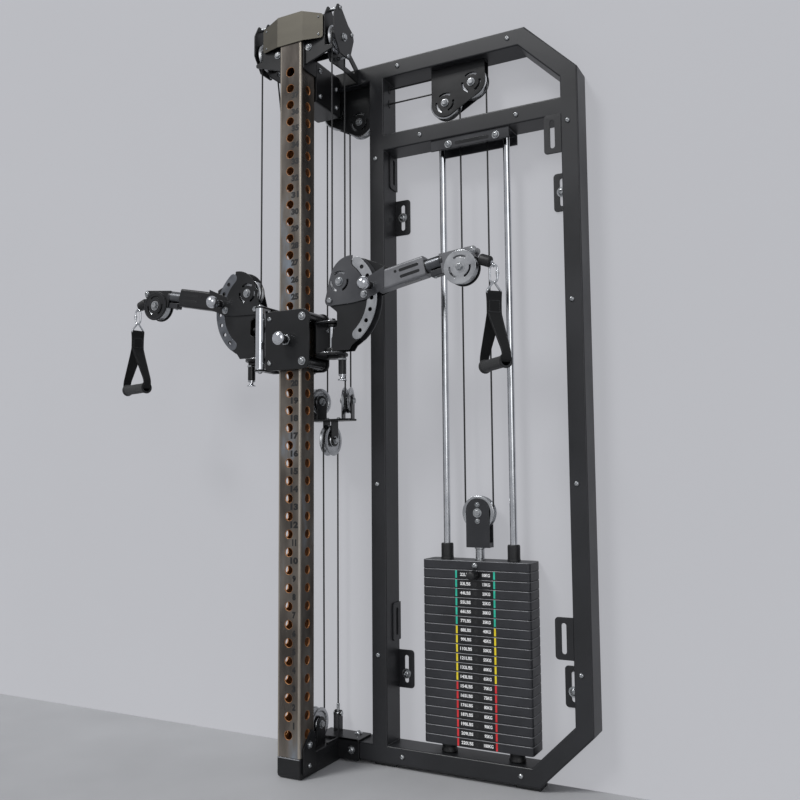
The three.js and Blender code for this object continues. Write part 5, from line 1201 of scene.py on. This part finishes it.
# ---- cables ------------------------------------------------------------------
def sweep(centre, first, second, radius, start, end, steps=28):
    """Points on an arc about the centre, from the first direction towards the second."""
    c, f, s = Vector(centre), Vector(first), Vector(second)
    return [c + f * (radius * math.cos(a)) + s * (radius * math.sin(a))
            for a in (start + (end - start) * k / steps for k in range(steps + 1))]


def cable(node, body, parts, side=1, step=150.0, fitting=None):
    """A cable through the parts, each a list of points, with straight runs in between."""
    points = list(parts[0])
    for part in parts[1:]:
        start, end = Vector(points[-1]), Vector(part[0])
        count = max(int((end - start).length / step), 1)
        points += [start.lerp(end, k / count) for k in range(1, count)] + part
    b = Build(mirror(side))
    b.tube(points, ROPE, "cable", 12)
    if fitting:
        fitting(b)
    piece(f"{node}_wire", b, body, node)


def stopper(b):
    """The rubber ball and the eye at the arm's end."""
    way = exit_point(1) - exit_point(0)
    b.lathe([(0, 0), (9, 0), (13.2, 1.2), (15, 4.5), (15, 29.5), (13.2, 32.8), (9, 34), (0, 34)],
            exit_point(39), way, "rubber", 36)
    b.lathe([(0, 0), (4, 0), (5.5, 1), (5.5, 3), (3, 5), (0, 5)], exit_point(72), way, "chrome", 28)
    b.tube(sweep(HANG, Y1, Z1, 5.6, 0, 2 * math.pi, 24)[:-1], 1.5, "chrome", 10, closed=True)


def cables():
    turn, clear = math.pi, 0.8
    for s, word in ((1, "right"), (-1, "left")):
        cable(f"cable_arm_{word}", f"arm_{word}",
              [sweep((PIVOT_X, YAW_Y, PIVOT_Z), X1, Z1, SMALL, turn, 1.5 * turn + SLOPE, 20), [run_point(NECK_END)]],
              s, 60)
        cable(f"cable_end_{word}", f"arm_head_{word}",
              [[run_point(NECK_END + GAP)], sweep((END_X, YAW_Y, END_Z), X1, Z1, SMALL, turn / 2 + SLOPE, EXIT, 18),
               [exit_point(40)]], s, 60, stopper)
        cable(f"cable_strand_{word}", "carriage",
              [[(s * YAW_X, YAW_Y, PIVOT_Z + clear)], [(s * YAW_X, YAW_Y, HEAD_Z - clear)]])
        twin = Vector((TWIN_X[s], TWIN_Y, TWIN_Z))
        across = Vector((-s * math.sin(TWIN_TURN), math.cos(TWIN_TURN), 0))
        cable(f"cable_block_{word}", "block",
              [sweep((s * YAW_X, HEAD_Y, HEAD_Z), Y1, Z1, SMALL, turn, 0),
               sweep(twin, across, Z1, SMALL, -turn, 0)])
        low = s > 0
        height = LOW_Z if low else HIGH_Z
        cable(f"cable_upper_{word}", "block",
              [[twin + across * SMALL + Vector((0, 0, clear))],
               sweep((COLUMN_PAIR[low], MID_Y, height), X1, Z1, LARGE, turn, turn / 2, 16),
               sweep((STACK_PAIR[low], MID_Y, height), X1, Z1, LARGE, turn / 2, 0, 16)])
    cable("cable_lift", "lift",
          [[(STACK_X - LARGE, MID_Y, LOW_Z - clear)], sweep((STACK_X, MID_Y, LIFT_Z), X1, Z1, LARGE, -turn, 0, 30),
           [(STACK_X + LARGE, MID_Y, HIGH_Z - clear)]])
    end = (0, ANCHOR_Y, 120.3)
    cable("cable_block_lower", "block",
          [[end], sweep((0, DROP_Y, DROP_Z), Y1, Z1, LARGE, 0, turn), [(0, BASE_Y + LARGE, BASE_Z + clear)]],
          fitting=lambda b: b.lathe([(0, 0), (4, 0), (5, 1), (5, 24), (3.2, 26), (0, 26)], end, Z1, "zinc", 24))
    low = CAR_Z - 86 - GAP
    cable("cable_carriage", "carriage",
          [sweep((0, BASE_Y, BASE_Z), Y1, Z1, LARGE, 0, -turn), [(0, BASE_Y - LARGE, low)]],
          fitting=lambda b: b.lathe([(0, 0), (3.2, 0), (4.6, 2), (4.6, 18), (3.2, 20), (0, 20)],
                                    (0, BASE_Y - LARGE, low - 20), Z1, "zinc", 24))


# ---- everything --------------------------------------------------------------
column()
foot()
wall_frame()
rods()
name_plate()
head()
for word, s in (("left", -1), ("right", 1)):
    pulley(f"head_pulley_{word}", SMALL, (s * YAW_X, HEAD_Y, HEAD_Z), X1)
bracket("column_pulley_bracket", COLUMN_PAIR)
bracket("stack_pulley_bracket", STACK_PAIR)
pulley("column_bracket_pulley_left", LARGE, (COLUMN_PAIR[0], MID_Y, HIGH_Z))
pulley("column_bracket_pulley_right", LARGE, (COLUMN_PAIR[1], MID_Y, LOW_Z))
pulley("stack_bracket_pulley_left", LARGE, (STACK_PAIR[1], MID_Y, LOW_Z))
pulley("stack_bracket_pulley_right", LARGE, (STACK_PAIR[0], MID_Y, HIGH_Z))
pulley("base_pulley", LARGE, (0, BASE_Y, BASE_Z), X1)
stack()
pulley("lift_pulley", LARGE, (STACK_X, MID_Y, LIFT_Z))
carriage()
block()
pulley("block_pulley_lower", LARGE, (0, DROP_Y, DROP_Z), X1)
for word, s in (("left", -1), ("right", 1)):
    pulley(f"block_pulley_{word}", SMALL, (TWIN_X[s], TWIN_Y, TWIN_Z),
           (math.cos(TWIN_TURN), s * math.sin(TWIN_TURN), 0))
for word, s in (("right", 1), ("left", -1)):
    yaw_body(s, word)
    arm(s, word)
    pulley(f"pivot_pulley_{word}", SMALL, (s * PIVOT_X, YAW_Y, PIVOT_Z))
    arm_head(s, word)
    pulley(f"end_pulley_{word}", SMALL, (s * END_X, YAW_Y, END_Z))
    handle(s, word)
cables()


# ---- floor, wall and light ---------------------------------------------------
def stage_plane(mat, corners):
    mesh = bpy.data.meshes.new(f"{mat}_plane")
    mesh.from_pydata(corners, [], [(0, 1, 2, 3)])
    mesh.materials.append(M[mat])
    obj = bpy.data.objects.new(f"{mat}_plane", mesh)
    bpy.context.scene.collection.objects.link(obj)


def backdrop(mat, code, share):
    """Evens out a plane for the camera and in reflections; from behind it is clear."""
    tree = M[mat].node_tree
    new, join = tree.nodes.new, tree.links.new

    def maths(operation, a, b):
        node = new("ShaderNodeMath")
        node.operation = operation
        join(a, node.inputs[0])
        if isinstance(b, float):
            node.inputs[1].default_value = b
        else:
            join(b, node.inputs[1])
        return node.outputs["Value"]

    def mix(factor, first, second):
        node = new("ShaderNodeMixShader")
        for socket, source in zip(node.inputs, (factor, first, second)):
            join(source, socket)
        return node.outputs["Shader"]

    rays, glow = new("ShaderNodeLightPath").outputs, new("ShaderNodeEmission")
    glow.inputs["Color"].default_value = linear(code)
    total = maths("MAXIMUM", rays["Is Camera Ray"], rays["Is Glossy Ray"])
    total = maths("MAXIMUM", total, rays["Is Transmission Ray"])
    even = mix(maths("MULTIPLY", total, share), tree.nodes["Principled BSDF"].outputs["BSDF"], glow.outputs["Emission"])
    behind, clear = new("ShaderNodeNewGeometry").outputs["Backfacing"], new("ShaderNodeBsdfTransparent").outputs["BSDF"]
    join(mix(behind, even, clear), tree.nodes["Material Output"].inputs["Surface"])


FAR_OUT, HIGH_UP = 6, 4                           # metres
WALL = (BACK + 2 * GAP - HALF) * MM
stage_plane("floor", [(-FAR_OUT, -FAR_OUT, 0), (FAR_OUT, -FAR_OUT, 0), (FAR_OUT, FAR_OUT, 0), (-FAR_OUT, FAR_OUT, 0)])
stage_plane("wall", [(-FAR_OUT, WALL, 0), (FAR_OUT, WALL, 0), (FAR_OUT, WALL, HIGH_UP), (-FAR_OUT, WALL, HIGH_UP)])
backdrop("wall", "#BCBDC2", 0.7)


def sun(name, source, strength, angle):
    data = bpy.data.lights.new(name, "SUN")
    data.energy, data.angle = strength, math.radians(angle)
    obj = bpy.data.objects.new(name, data)
    obj.rotation_euler = Vector(source).to_track_quat("Z", "Y").to_euler()
    bpy.context.scene.collection.objects.link(obj)


sun("key", (-0.9, -1.6, 1.9), 1.7, 16)
sun("fill", (1.3, -2.0, 0.7), 0.45, 35)
world = bpy.data.worlds.new("world")
world.use_nodes = True
world.node_tree.nodes["Background"].inputs["Color"].default_value = linear("#BEBFC3")
world.node_tree.nodes["Background"].inputs["Strength"].default_value = 0.9
bpy.context.scene.world = world
bpy.context.scene.view_settings.view_transform = "Standard"
